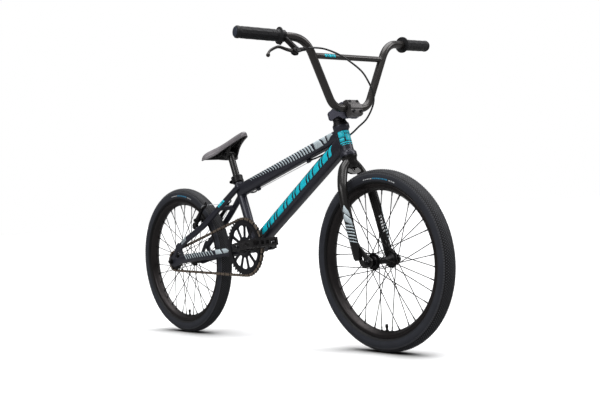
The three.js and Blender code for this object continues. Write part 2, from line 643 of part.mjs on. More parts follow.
function saddle() {
  const stations = SADDLE_STATIONS.map(([x, crest, , depth]) => [x, 0, crest - depth]);
  const last = SADDLE_STATIONS.length - 1;
  const wall = 7;
  const shell = bent(stations, (x, z, share) => {
    const station = Math.round(share * last);
    const [, , half, depth] = SADDLE_STATIONS[station];
    const solidEnd = station < 1 || station > last - 1;
    if (z >= 0) return [x * half, z * depth];
    return [x * (half - 2), solidEnd ? 0 : -z * (depth - wall)];
  }, { sides: 14 });
  const pivot = onSeatTube(SEAT_POST_TOP);
  const cheek = plate([
    ...arc(pivot[0], pivot[2], 15.5, 180, 330, 5),
    [pivot[0] + 34, pivot[2] + 34],
    [pivot[0] - 30, pivot[2] + 22],
  ], 15 + GAP, 21);
  const room = rod([pivot[0], -15 - GAP, pivot[2]], [pivot[0], 15 + GAP, pivot[2]], SADDLE_PIVOT_RADIUS + 1, 16);
  return cut(join(shell, cheek, mirrored(cheek)), room);
}

// ---------------------------------------------------------------- steering, in its own upright frame
const AXIS = [0, 0, 1];

/** The half of the fork on the left: an arched leg and its dropout. */
function forkLeg() {
  const path = [[0, 4, 296], [-2, 15, 287], [-4, 29, 273], [-4, 39, 255], [-3, 47.5, 235], [-2, 54, 212], [-4, 58, 160],
    [-8, 59.5, 6]];
  const leg = bent(path, (x, z, share) => {
    const radius = share < 1 ? 13.5 : 10;
    return [x * radius, z * radius];
  }, { sides: 10, across: [1, 0, 0] });
  const low = FRONT_HUB_WIDTH / 2;
  const outline = [
    ...arc(FORK_RAKE, 0, 13, -110, 70, 8),
    [9, 42], [-8, 42], [-9, -2], [2, -11],
  ];
  const windowHole = [[1, 22], [10, 12], [8, 26]];
  return join(leg, plate(outline, low, low + DROPOUT_THICKNESS, [windowHole]));
}

function fork() {
  const leg = forkLeg();
  const steerer = rod([0, 0, 290], [0, 0, STEERER_TOP], STEERER_RADIUS, 16);
  const crown = rod([0, 0, 276], [0, 0, 304], 17.5, 16, 20);
  const brace = plate([[-28, 254], [28, 254], [10, 300], [-10, 300]], -13, -5).rotate([0, 0, 90]);
  const bore = rod([0, 0, 240], [0, 0, 460], 12, 12);
  const brakeHole = rod([0, 0, 268], [40, 0, 268], 3, 8);
  const axleHole = rod([FORK_RAKE, -70, 0], [FORK_RAKE, 70, 0], AXLE_RADIUS + 2 * GAP, 10);
  return cut(join(steerer, crown, leg, mirrored(leg), brace), bore, brakeHole, axleHole);
}

/** The stepped cone between the head tube and the stem. */
function headsetCover() {
  const bore = STEERER_RADIUS + GAP;
  const low = HEAD_TUBE_TOP + GAP;
  return turned([
    [bore, low], [22.5, low], [23, low + 5], [20.5, low + 8], [18, low + 14], [16.8, low + 22.5], [bore, low + 22.5],
    [bore, low],
  ], [0, 0, 0], AXIS, 16);
}

const STEM_BOTTOM = 420.8;
const STEM_HALF_WIDTH = 25;
const STEM_REAR_HALF_WIDTH = 19;

function stem() {
  const outline = [
    [-21, 425], [-16, STEM_BOTTOM], [16, STEM_BOTTOM], [32, 417], [43, 404], [51, 404], [51, 451],
    [40, 451], [22, 447], [-16, 447], [-21, 443],
  ];
  const body = plate(outline, -STEM_HALF_WIDTH, STEM_HALF_WIDTH);
  const taper = plate(
    [[-30, STEM_REAR_HALF_WIDTH - 2], [0, STEM_REAR_HALF_WIDTH], [28, STEM_HALF_WIDTH], [28, 30], [-30, 30]],
    -470,
    -390,
  ).rotate([-90, 0, 0]);
  const steererHole = rod([0, 0, 400], [0, 0, 460], STEERER_RADIUS + GAP, 16);
  const barHole = rod([55, -40, 430], [55, 40, 430], BAR_RADIUS + GAP, 14);
  const slit = solid(new THREE.BoxGeometry(40, 2, 60).translate(-30, 0, 435));
  const bolts = FACE_BOLTS.map((place) => faceBolt(place, GAP));
  return cut(body, taper, mirrored(taper), steererHole, barHole, slit, ...bolts);
}

const FACE_BOLTS = [[-17, 413], [17, 413], [-17, 445], [17, 445]];

function stemFaceplate() {
  const outline = [[54, 404], [66, 402], [78, 408], [81, 424], [76, 434], [68, 449], [60, 451], [54, 451]];
  const body = plate(outline, -STEM_HALF_WIDTH, STEM_HALF_WIDTH);
  const barHole = rod([55, -40, 430], [55, 40, 430], BAR_RADIUS + GAP, 14);
  return cut(body, barHole, ...FACE_BOLTS.map((place) => faceBolt(place, GAP)));
}

/** A cap screw that holds the face plate; `extra` swells it to cut its own hole. */
function faceBolt([y, up], extra = 0) {
  const headAt = up > 430 ? 66 : 76;
  const shank = rod([34 - extra, y, up], [headAt, y, up], 2.5 + extra, 8);
  const head = rod([headAt - 4 - extra, y, up], [headAt + (extra ? 20 : 3), y, up], 4.2 + extra, 10);
  return join(shank, head);
}

const topCap = () => turned([[0, 436], [11, 436], [11, 447.4], [16, 447.4], [15, 450.5], [0, 450.5]], [0, 0, 0], AXIS, 12);

/** Handlebar stations on one side, from the middle of the clamp out to the end. */
function barStations() {
  const bend = (before, corner, after, tangent, steps) => {
    const start = vector(before).sub(vector(corner)).setLength(tangent).add(vector(corner));
    const end = vector(after).sub(vector(corner)).setLength(tangent).add(vector(corner));
    return new THREE.QuadraticBezierCurve3(start, vector(corner), end).getPoints(steps).map((point) => point.toArray());
  };
  return [
    ...bend(BAR_CLAMP, BAR_LOWER_BEND, BAR_UPPER_BEND, 26, 4),
    ...bend(BAR_LOWER_BEND, BAR_UPPER_BEND, BAR_END, 40, 4),
    BAR_END,
  ];
}

function handlebar() {
  const left = barStations();
  const right = left.map(([x, y, z]) => [x, -y, z]).reverse();
  const crossing = mixPoints(BAR_LOWER_BEND, BAR_UPPER_BEND, BAR_CROSS_SHARE);
  const main = bent([...right, ...left], BAR_RADIUS, { across: [1, 0, 0] });
  return join(main, rod([crossing[0], -crossing[1], crossing[2]], crossing, 8, 10));
}

const barAlong = vector(BAR_END).sub(vector(BAR_UPPER_BEND)).normalize();
/** A point on the straight grip part of the left bar, a set distance in from its end. */
const inFromBarEnd = (distance) => vector(BAR_END).addScaledVector(barAlong, -distance).toArray();

/** A flanged grip with a plugged end, for the left; the profile runs out from the flange. */
function grip() {
  const bore = BAR_RADIUS + GAP;
  return turned([
    [bore, 0], [25, 0], [25, 4], [17, 6], [16.6, GRIP_LENGTH - 8], [17.8, GRIP_LENGTH - 6], [17.8, GRIP_LENGTH + 2],
    [14, GRIP_LENGTH + 4], [0, GRIP_LENGTH + 4], [0, GRIP_LENGTH + GAP], [bore, GRIP_LENGTH + GAP], [bore, 0],
  ], inFromBarEnd(GRIP_LENGTH), barAlong.toArray(), 16);
}

const pullLean = 19; // degrees that the lever's pull points back from the steering axis
const PULL = [-Math.sin(radians(pullLean)), 0, Math.cos(radians(pullLean))];
const LEVER_AXIS = [-PULL[2], 0, PULL[0]];
const fromLever = (out, pull, along) => LEVER_PIVOT.map((value, i) => value
  + (i === 1 ? -out : 0) + pull * PULL[i] + along * LEVER_AXIS[i]);

function leverBracket() {
  const clampAt = vector(inFromBarEnd(GRIP_LENGTH + 8)).setY(-inFromBarEnd(GRIP_LENGTH + 8)[1]);
  const along = barAlong.clone().setY(-barAlong.y);
  const end = (distance) => clampAt.clone().addScaledVector(along, distance).toArray();
  const collar = rod(end(-5), end(5), 15.5, 12);
  const neck = bent(
    [clampAt.clone().add(new THREE.Vector3(6, 3, -9)).toArray(), fromLever(-2, 22, 0), fromLever(-10, 8, 0)],
    oval([7, 6], [8, 7]),
    { sides: 6, across: [1, 0, 0] },
  );
  const nose = bent([fromLever(-6, 4, 0), fromLever(-34, 11, 0)], oval([7, 7], [5, 5]), { sides: 6 });
  const pin = rod(fromLever(0, 0, -8), fromLever(0, 0, 8), 2.5, 6);
  const knuckle = rod(fromLever(0, 0, -8), fromLever(0, 0, 8), 7.5, 10);
  const eyeRoom = join(
    rod(fromLever(0, 0, -3.3), fromLever(0, 0, 3.3), 9.5, 10),
    bent([fromLever(0, 0, 0), fromLever(30, 4, 0)], oval([9.5, 3.3]), { sides: 4 }),
  );
  const barHole = rod(end(-20), end(20), BAR_RADIUS + 2 * GAP, 14);
  return cut(join(cut(join(collar, neck, nose, knuckle), eyeRoom), pin), barHole);
}

/** A hooked two-finger lever. */
function brakeLever() {
  const blade = bent(
    [fromLever(0, 0, 0), fromLever(23, 5, 0), fromLever(48, 13, 0), fromLever(74, 4, 0), fromLever(92, -8, 0),
      fromLever(101, -20, 0)],
    oval([3, 4.5], [5, 3.5]),
    { sides: 6, across: LEVER_AXIS },
  );
  const eye = rod(fromLever(0, 0, -3), fromLever(0, 0, 3), 7, 10);
  const hole = rod(fromLever(0, 0, -9), fromLever(0, 0, 9), 2.9, 8);
  return cut(join(blade, eye), hole);
}

function barrelAdjuster() {
  const start = fromLever(-34.5, 11, 0);
  const end = fromLever(-46, 13, 0);
  const direction = vector(end).sub(vector(start)).toArray();
  return turned([[0, 0], [4, 0], [4, 3], [5.2, 3], [5.2, 9], [4, 11.5], [0, 11.5]], start, direction, 10);
}

/** Where the cable housing runs, from the lever to the front of the head tube. */
const FRONT_HOUSING = [[118, -163, 574], [120, -135, 575], [122, -105, 572], [128, -72, 558], [130, -42, 541],
  [131, -2, 510], [129, 17, 480], [124, 29, 445], [108, 34, 419], [70, 36, 394]];
const MIDDLE_HOUSING = [[34, 32, 383], [6, 27, 374]];
const frontHousing = () => bent(smooth(FRONT_HOUSING, 20), HOUSING_RADIUS, { sides: 6, across: [1, 0, 0] });

// ---------------------------------------------------------------- rear brake and its cable
function brakeArm() {
  const spread = BRAKE_POST_SPREAD;
  const blade = bent(
    [onBrake(164, spread, 0), onBrake(182, spread + 1, 0), onBrake(204, spread + 5, 0), onBrake(240, spread + 9, 0),
      onBrake(268, spread + 8, 0)],
    oval([7, 6], [5, 5]),
    { sides: 6 },
  );
  const boss = rod(onBrake(BRAKE_POST_RADIUS, spread, -7), onBrake(BRAKE_POST_RADIUS, spread, 6.5), 9, 10);
  const hole = rod(onBrake(BRAKE_POST_RADIUS, spread, -20), onBrake(BRAKE_POST_RADIUS, spread, 20), 4.6, 8);
  return cut(join(blade, boss), hole);
}

function brakePad() {
  const faceY = 17;
  const shoe = new THREE.BoxGeometry(10, 10, 56);
  shoe.rotateY(radians(-BRAKE_ANGLE));
  const [x, , z] = onBrake(BRAKE_SHOE_RADIUS, 0, 0);
  shoe.translate(x, faceY + 5, z);
  const stud = rod([x, faceY + 6, z], [x, 37.4, z], 4, 8);
  return join(solid(shoe), stud);
}

const REAR_HOUSING = [[424, 3, 468], [392, 22, 458], [350, 33, 456], [306, 36, 466], [262, 34, 476], [230, 26, 473]];
const MIDDLE_TO_STOP = [[800, 25, 588], [752, 21, 563], [714, 9, 548], [686, 0, 540.5]];

/** The housing from the second cable stop and the bent metal noodle that leads the cable to the left brake arm. */
const rearHousing = () => bent(
  smooth([...REAR_HOUSING, onBrake(286, 20, 4), onBrake(281, 34, 4), onBrake(277.5, 47, 3)], 18),
  HOUSING_RADIUS,
  { sides: 6 },
);

const middleHousing = () => bent(
  smooth([...MIDDLE_HOUSING.map(onHead), ...MIDDLE_TO_STOP], 12),
  HOUSING_RADIUS,
  { sides: 6 },
);

const innerCable = () => rod([427.5, 0, 468.5], [683, 0, 536.4], 0.9, 6);

// ---------------------------------------------------------------- the bike
const bike = new THREE.Group();
bike.name = 'bmx_bike';

function add(parent, name, shape, material) {
  const mesh = new THREE.Mesh(geometryOf(shape), material);
  mesh.name = name;
  parent.add(mesh);
}

add(bike, 'frame', frame(), FRAME_PAINT);
add(bike, 'headset_bearing_lower', headsetBearing(HEAD_TUBE_BOTTOM + 0.4), BRIGHT_STEEL);
add(bike, 'headset_bearing_upper', headsetBearing(HEAD_TUBE_TOP - 7.4), BRIGHT_STEEL);
add(bike, 'bottom_bracket_cup_right', bottomBracketCup(-1), BLACK_METAL);
add(bike, 'bottom_bracket_cup_left', bottomBracketCup(1), BLACK_METAL);
add(bike, 'seat_clamp', seatClamp(), BLACK_METAL);
add(bike, 'seat_clamp_bolt', seatClampBolt(), BOLT_METAL);
add(bike, 'seat_post', seatPost(), BLACK_METAL);
add(bike, 'saddle', saddle(), SADDLE_PLASTIC);

const WHEELS = {
  front: { at: FRONT_AXLE, width: FRONT_HUB_WIDTH, right: -33.4, left: 33.4, half: 42, thread: false },
  rear: { at: REAR_AXLE, width: REAR_HUB_WIDTH, right: -31, left: 33.4, half: 49.5, thread: true },
};
for (const [name, { at, width, right, left, half, thread }] of Object.entries(WHEELS)) {
  add(bike, `${name}_tyre`, tyre(at), TYRE_RUBBER);
  add(bike, `${name}_rim`, rim(at), BLACK_METAL);
  add(bike, `${name}_hub`, hub(at, right, left, half, thread), BLACK_METAL);
  add(bike, `${name}_spokes_right`, spokes(at, right, -3), SPOKE_STEEL);
  add(bike, `${name}_spokes_left`, spokes(at, left, 3), SPOKE_STEEL);
  add(bike, `${name}_valve`, valve(at), RUBBER_BLACK);
  add(bike, `${name}_axle`, axle(at, width, DROPOUT_THICKNESS + 13), BOLT_METAL);
  const nutFace = width / 2 + DROPOUT_THICKNESS + GAP;
  add(bike, `${name}_axle_nut_right`, axleNut(at, nutFace, -1), BOLT_METAL);
  add(bike, `${name}_axle_nut_left`, axleNut(at, nutFace, 1), BOLT_METAL);
}

add(bike, 'freewheel', freewheel(), BOLT_METAL);
add(bike, 'chain', chain(), CHAIN_STEEL);
add(bike, 'chainring', chainring(), BLACK_METAL);
add(bike, 'crank_spindle', spindle(), BRIGHT_STEEL);
add(bike, 'crank_arm_right', crankArm(-1), BLACK_METAL);
add(bike, 'crank_arm_left', crankArm(1), BLACK_METAL);
add(bike, 'pedal_axle_right', pedalAxle(-1), BRIGHT_STEEL);
add(bike, 'pedal_axle_left', pedalAxle(1), BRIGHT_STEEL);
add(bike, 'pedal_right', pedal(-1), PEDAL_PLASTIC);
add(bike, 'pedal_left', pedal(1), PEDAL_PLASTIC);

add(bike, 'brake_arm_left', brakeArm(), BLACK_METAL);
add(bike, 'brake_arm_right', mirrored(brakeArm()), BLACK_METAL);
add(bike, 'brake_pad_left', brakePad(), RUBBER_BLACK);
add(bike, 'brake_pad_right', mirrored(brakePad()), RUBBER_BLACK);
add(bike, 'cable_housing_rear', rearHousing(), RUBBER_BLACK);
add(bike, 'cable_housing_middle', middleHousing(), RUBBER_BLACK);
add(bike, 'brake_cable', innerCable(), BRIGHT_STEEL);

const steering = new THREE.Group();
steering.position.set(...HEAD_FOOT);
steering.rotation.y = -headLean;
bike.add(steering);

add(steering, 'fork', fork(), BLACK_PAINT);
add(steering, 'headset_cover', headsetCover(), BLACK_METAL);
add(steering, 'stem', stem(), STEM_METAL);
add(steering, 'stem_faceplate', stemFaceplate(), STEM_METAL);
FACE_BOLTS.forEach((place, i) => add(steering, `faceplate_bolt_${i + 1}`, faceBolt(place), BOLT_METAL));
add(steering, 'steerer_cap', topCap(), BLACK_METAL);
add(steering, 'handlebar', handlebar(), BLACK_PAINT);
add(steering, 'grip_left', grip(), GRIP_RUBBER);
add(steering, 'grip_right', mirrored(grip()), GRIP_RUBBER);
add(steering, 'lever_bracket', leverBracket(), BLACK_METAL);
add(steering, 'brake_lever', brakeLever(), BLACK_METAL);
add(steering, 'barrel_adjuster', barrelAdjuster(), BLACK_METAL);
add(steering, 'cable_housing_front', frontHousing(), RUBBER_BLACK);

export default bike;
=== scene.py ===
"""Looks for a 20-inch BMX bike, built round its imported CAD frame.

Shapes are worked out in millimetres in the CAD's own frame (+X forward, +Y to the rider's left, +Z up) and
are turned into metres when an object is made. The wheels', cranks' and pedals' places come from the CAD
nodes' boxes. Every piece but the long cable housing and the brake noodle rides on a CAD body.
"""

import math

import bmesh
import bpy
from mathutils import Matrix, Vector
from mathutils.geometry import tessellate_polygon

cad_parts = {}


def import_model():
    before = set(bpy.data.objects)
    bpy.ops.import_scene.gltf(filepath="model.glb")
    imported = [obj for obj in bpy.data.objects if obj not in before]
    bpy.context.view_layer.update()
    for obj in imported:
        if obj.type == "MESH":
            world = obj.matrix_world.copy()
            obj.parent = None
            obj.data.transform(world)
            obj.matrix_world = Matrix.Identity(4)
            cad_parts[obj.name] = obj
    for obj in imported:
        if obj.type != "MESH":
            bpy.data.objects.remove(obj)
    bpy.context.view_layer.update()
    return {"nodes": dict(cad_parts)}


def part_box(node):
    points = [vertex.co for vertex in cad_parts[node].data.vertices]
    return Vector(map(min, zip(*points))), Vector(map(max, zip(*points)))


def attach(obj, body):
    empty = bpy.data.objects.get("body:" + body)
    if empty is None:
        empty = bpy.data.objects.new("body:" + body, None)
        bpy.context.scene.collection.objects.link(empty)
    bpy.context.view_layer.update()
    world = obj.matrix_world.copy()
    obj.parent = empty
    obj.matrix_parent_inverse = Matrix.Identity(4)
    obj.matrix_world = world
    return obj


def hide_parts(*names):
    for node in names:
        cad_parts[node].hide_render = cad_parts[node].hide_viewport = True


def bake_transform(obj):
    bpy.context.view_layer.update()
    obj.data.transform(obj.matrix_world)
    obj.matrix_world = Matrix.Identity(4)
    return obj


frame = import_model()
METRES = 0.001


# ---------------------------------------------------------------- places, from the CAD nodes
def centre(node):
    low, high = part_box(node)
    return (low + high) / 2 / METRES


REAR = centre("rear_axle")
FRONT = centre("front_axle")
CRANK = centre("crank_spindle")
PEDAL = {-1: centre("pedal_right"), 1: centre("pedal_left")}
TYRE_RADIUS = (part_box("rear_tyre")[1].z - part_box("rear_tyre")[0].z) / 2 / METRES
HEAD_LEAN, SEAT_ANGLE, BRAKE_ANGLE = (math.radians(degrees) for degrees in (16, 70.6, 42.55))
HEAD_FORWARD = Vector((math.cos(HEAD_LEAN), 0, math.sin(HEAD_LEAN)))
HEAD_UP = Vector((-math.sin(HEAD_LEAN), 0, math.cos(HEAD_LEAN)))
FORK_RAKE = 22
HEAD_FOOT = FRONT - HEAD_FORWARD * FORK_RAKE
HEAD_RADIUS = 18.5
SEAT_UP = Vector((-math.cos(SEAT_ANGLE), 0, math.sin(SEAT_ANGLE)))
SEAT_BACK = Vector((-SEAT_UP.z, 0, SEAT_UP.x))
SEAT_TUBE_RADIUS = 14.3
LEFT = Vector((0, 1, 0))
BRAKE_OUT = Vector((math.cos(BRAKE_ANGLE), 0, math.sin(BRAKE_ANGLE)))
BRAKE_BACK = Vector((-BRAKE_OUT.z, 0, BRAKE_OUT.x))
PIVOT_OUT, PIVOT_LEFT = 173.75, 40  # the left brake arm's pivot, from the rear axle and the bike's middle
SHOE_OUT, WIRE_OUT = 201, 272  # the brake shoes, and the cable between the arms, from the rear axle
CHAIN_Y = -45.0
CHAIN_PITCH = 12.7
RING_TEETH, COG_TEETH = 44, 16


def on_head(forward, left, up):
    return HEAD_FOOT + HEAD_FORWARD * forward + LEFT * left + HEAD_UP * up


def on_seat_tube(up, left=0.0, forward=0.0):
    return CRANK + SEAT_UP * up + LEFT * left - SEAT_BACK * forward


def on_brake(out, left, behind=0.0):
    return REAR + BRAKE_OUT * out + LEFT * left + BRAKE_BACK * behind


# ---------------------------------------------------------------- shapes
class Shape:
    """Points in millimetres and faces, gathered from several closed forms."""

    def __init__(self):
        self.points, self.faces, self.slots = [], [], []

    def add(self, points, faces, slot=0):
        base = len(self.points)
        self.points += [Vector(p) for p in points]
        self.faces += [tuple(base + i for i in face) for face in faces]
        self.slots += [slot] * len(faces)
        return self

    def skin(self, rings, slot=0):
        """Joins equal rings of points, one after another, into a tube with closed ends."""
        count = len(rings[0])
        points = [p for ring in rings for p in ring]
        faces = []
        for base in range(0, len(points) - count, count):
            for k in range(count):
                n = (k + 1) % count
                faces.append((base + k, base + n, base + count + n, base + count + k))
        faces.append(tuple(reversed(range(count))))
        faces.append(tuple(range(len(points) - count, len(points))))
        return self.add(points, faces, slot)

    def lathe(self, profile, origin=(0, 0, 0), axis=(0, 0, 1), segments=48, slot=0, scallop=None):
        """Turns [radius, along] points about an axis. A profile that ends where it starts makes a ring."""
        direction = Vector(axis).normalized()
        u = direction.orthogonal().normalized()
        if abs(direction.dot(LEFT)) > 0.99:
            u = Vector((1, 0, 0))
        v = direction.cross(u)
        start = Vector(origin)
        closed = profile[0] == profile[-1]
        stations = profile[:-1] if closed else profile
        points, index = [], []
        for j, (radius, along) in enumerate(stations):
            base = len(points)
            if radius < 1e-6:
                points.append(start + direction * along)
                index.append([base] * segments)
                continue
            for k in range(segments):
                angle = 2 * math.pi * k / segments
                r = radius + (scallop(j, angle) if scallop else 0)
                points.append(start + direction * along
                              + u * (r * math.cos(angle)) + v * (r * math.sin(angle)))
            index.append([base + k for k in range(segments)])
        faces = []
        for j in range(len(stations) if closed else len(stations) - 1):
            a, b = index[j], index[(j + 1) % len(stations)]
            for k in range(segments):
                n = (k + 1) % segments
                corners = []
                for i in (a[k], a[n], b[n], b[k]):
                    if i not in corners:
                        corners.append(i)
                if len(corners) > 2:
                    faces.append(tuple(corners))
        if not closed:
            for ring, flip in ((index[0], True), (index[-1], False)):
                if ring[0] != ring[-1]:
                    faces.append(tuple(reversed(ring)) if flip else tuple(ring))
        return self.add(points, faces, slot)

    def prism(self, outline, low, high, place, holes=(), slot=0):
        """A flat outline with holes, standing from low to high; place(x, y, height) puts it in the bike."""
        loops = [list(outline)] + [list(h) for h in holes]
        flat = [[Vector((x, y, 0)) for x, y in loop] for loop in loops]
        triangles = tessellate_polygon(flat)
        all_points = [p for loop in flat for p in loop]
        count = len(all_points)
        points = [place(p.x, p.y, low) for p in all_points] + [place(p.x, p.y, high) for p in all_points]
        faces = [tuple(t) for t in triangles] + [tuple(i + count for i in reversed(t)) for t in triangles]
        base = 0
        for loop in loops:
            n = len(loop)
            for k in range(n):
                a, b = base + k, base + (k + 1) % n
                faces.append((a, b, b + count, a + count))
            base += n
        return self.add(points, faces, slot)

    def box(self, corner_low, corner_high, place):
        (x0, y0, z0), (x1, y1, z1) = corner_low, corner_high
        return self.prism(box_outline(x0, y0, x1, y1), z0, z1, place)

    def bolt(self, at, axis, radius, height, segments=20):
        """A cap screw's head, with a socket for a hexagon key, standing on a point."""
        inner = radius * 0.5
        return self.lathe([[0, 0], [radius, 0], [radius, height * 0.8], [radius * 0.88, height],
                           [inner, height],
                           [inner * 0.95, height * 0.35], [0, height * 0.35]], at, axis, segments)

    def mirrored(self):
        other = Shape()
        other.points = [mirror(p) for p in self.points]
        other.faces = [tuple(reversed(face)) for face in self.faces]
        other.slots = list(self.slots)
        return other

    def join(self, other):
        base = len(self.points)
        self.points += other.points
        self.faces += [tuple(base + i for i in f) for f in other.faces]
        self.slots += other.slots
        return self


def side_place(x, z, y):
    """For outlines drawn as seen from the side, with the height along Y."""
    return Vector((x, y, z))


def mirror(p):
    """A point's place on the other side of the bike."""
    return Vector((p.x, -p.y, p.z))


def arc(x, y, radius, start, end, steps):
    angles = [math.radians(start + (end - start) * i / steps) for i in range(steps + 1)]
    return [(x + radius * math.cos(a), y + radius * math.sin(a)) for a in angles]


def ring(x, y, radius, count):
    """A closed round outline; six points make a nut."""
    return arc(x, y, radius, 0, 360, count)[:-1]


def drilled(x, y, radius, count):
    """A round hole's outline, which runs the other way round from its plate's."""
    return list(reversed(ring(x, y, radius, count)))


def box_outline(x0, y0, x1, y1):
    return [(x0, y0), (x1, y0), (x1, y1), (x0, y1)]


def value_at(line, x):
    """The value at x on a line of (x, value) points in rising order, held level past its ends."""
    for (x0, v0), (x1, v1) in zip(line, line[1:]):
        if x <= x1:
            return v0 + (v1 - v0) * (max(x, x0) - x0) / (x1 - x0)
    return line[-1][1]


def both_walls(half):
    """A closed profile to turn, from its left half's (along, radius) points, whose ends lie in the middle."""
    profile = [[r, y] for y, r in half] + [[r, -y] for y, r in reversed(half[1:-1])]
    return profile + [profile[0]]


def smooth_path(points, step=6.0):
    """Evenly spaced points on a Catmull-Rom curve."""
    p = [Vector(q) for q in points]
    p = [p[0] * 2 - p[1]] + p + [p[-1] * 2 - p[-2]]
    fine = []
    for i in range(1, len(p) - 2):
        a, b, c, d = p[i - 1], p[i], p[i + 1], p[i + 2]
        for k in range(24):
            t = k / 24
            fine.append(((2 * b) + (c - a) * t + (2 * a - 5 * b + 4 * c - d) * t * t
                         + (3 * b - a - 3 * c + d) * t ** 3) / 2)
    fine.append(p[-2])
    lengths = [0.0]
    for a, b in zip(fine, fine[1:]):
        lengths.append(lengths[-1] + (b - a).length)
    count = max(2, round(lengths[-1] / step))
    out, j = [], 0
    for i in range(count + 1):
        want = lengths[-1] * i / count
        while j < len(fine) - 2 and lengths[j + 1] < want:
            j += 1
        share = (want - lengths[j]) / max(lengths[j + 1] - lengths[j], 1e-9)
        out.append(fine[j].lerp(fine[j + 1], min(1, share)))
    return out


class Sweep:
    """A tube along a path, with an oval or squarish section, that also places points on its surface."""

    def __init__(self, path, half, across=(0, 1, 0), power=2.0):
        self.path = [Vector(p) for p in path]
        self.half = half if callable(half) else (lambda share: (half, half))
        self.power = power
        self.lengths = [0.0]
        for a, b in zip(self.path, self.path[1:]):
            self.lengths.append(self.lengths[-1] + (b - a).length)
        last = len(self.path) - 1
        side = Vector(across)
        self.frames = []
        for i in range(len(self.path)):
            tangent = (self.path[min(i + 1, last)] - self.path[max(i - 1, 0)]).normalized()
            side = (side - tangent * side.dot(tangent)).normalized()
            self.frames.append((side.copy(), tangent.cross(side)))

    @property
    def length(self):
        return self.lengths[-1]

    def place(self, along, degrees, lift=0.0):
        along = min(max(along, 0.0), self.length)
        i = 0
        while i < len(self.lengths) - 2 and self.lengths[i + 1] < along:
            i += 1
        t = (along - self.lengths[i]) / (self.lengths[i + 1] - self.lengths[i])
        middle = self.path[i].lerp(self.path[i + 1], t)
        u = self.frames[i][0].lerp(self.frames[i + 1][0], t).normalized()
        v = self.frames[i][1].lerp(self.frames[i + 1][1], t).normalized()
        a, b = self.half(along / self.length)
        c, s = math.cos(math.radians(degrees)), math.sin(math.radians(degrees))
        k = 2 / self.power
        x, y = math.copysign(abs(c) ** k, c), math.copysign(abs(s) ** k, s)
        nx = math.copysign(abs(x) ** (self.power - 1), x) / a
        ny = math.copysign(abs(y) ** (self.power - 1), y) / b
        size = math.hypot(nx, ny)
        return middle + u * (a * x + lift * nx / size) + v * (b * y + lift * ny / size)

    def into(self, shape, sides=32):
        return shape.skin([[self.place(s, 360 * k / sides) for k in range(sides)] for s in self.lengths])


def mixed(start, end):
    """Half sizes that run evenly from one end to the other."""
    return lambda share: (start[0] + (end[0] - start[0]) * share, start[1] + (end[1] - start[1]) * share)


def straight(a, b, steps=8):
    a, b = Vector(a), Vector(b)
    return [a.lerp(b, i / steps) for i in range(steps + 1)]


def bead(shape, loop, radius, ripple=0.22, sides=8):
    """A weld's bead along a closed loop of points."""
    count = len(loop)
    rings = []
    for i, p in enumerate(loop):
        tangent = (loop[(i + 1) % count] - loop[i - 1]).normalized()
        u = tangent.orthogonal().normalized()
        v = tangent.cross(u)
        size = radius * (1 + ripple * math.cos(i * math.pi))
        turns = [2 * math.pi * k / sides for k in range(sides)]
        rings.append([p + u * (size * math.cos(turn)) + v * (size * math.sin(turn)) for turn in turns])
    # orthogonal() may turn from ring to ring, so each ring starts at its point nearest to the one before
    for i in range(1, count):
        nearest = min(range(sides), key=lambda k: (rings[i][k] - rings[i - 1][0]).length)
        rings[i] = rings[i][nearest:] + rings[i][:nearest]
    nearest = min(range(sides), key=lambda k: (rings[0][k] - rings[-1][0]).length)
    rings.append(rings[0][nearest:] + rings[0][:nearest])
    return shape.skin(rings)


def weld(shape, sweep, origin, axis, radius, size=1.7, at_end=True, count=84):
    """A bead where a tube meets a round tube or shell."""
    axis = Vector(axis).normalized()
    origin = Vector(origin)

    def gap(along, degrees):
        d = sweep.place(along, degrees) - origin
        return (d - axis * d.dot(axis)).length - radius

    loop = []
    for k in range(count):
        degrees = 360 * k / count
        outer, inner = sweep.length * 0.5, sweep.length if at_end else 0.0
        if gap(inner, degrees) > 0:
            loop.append(sweep.place(inner, degrees))
            continue
        for _ in range(24):
            middle = (outer + inner) / 2
            if gap(middle, degrees) > 0:
                outer = middle
            else:
                inner = middle
        loop.append(sweep.place(outer, degrees))
    return bead(shape, loop, size)


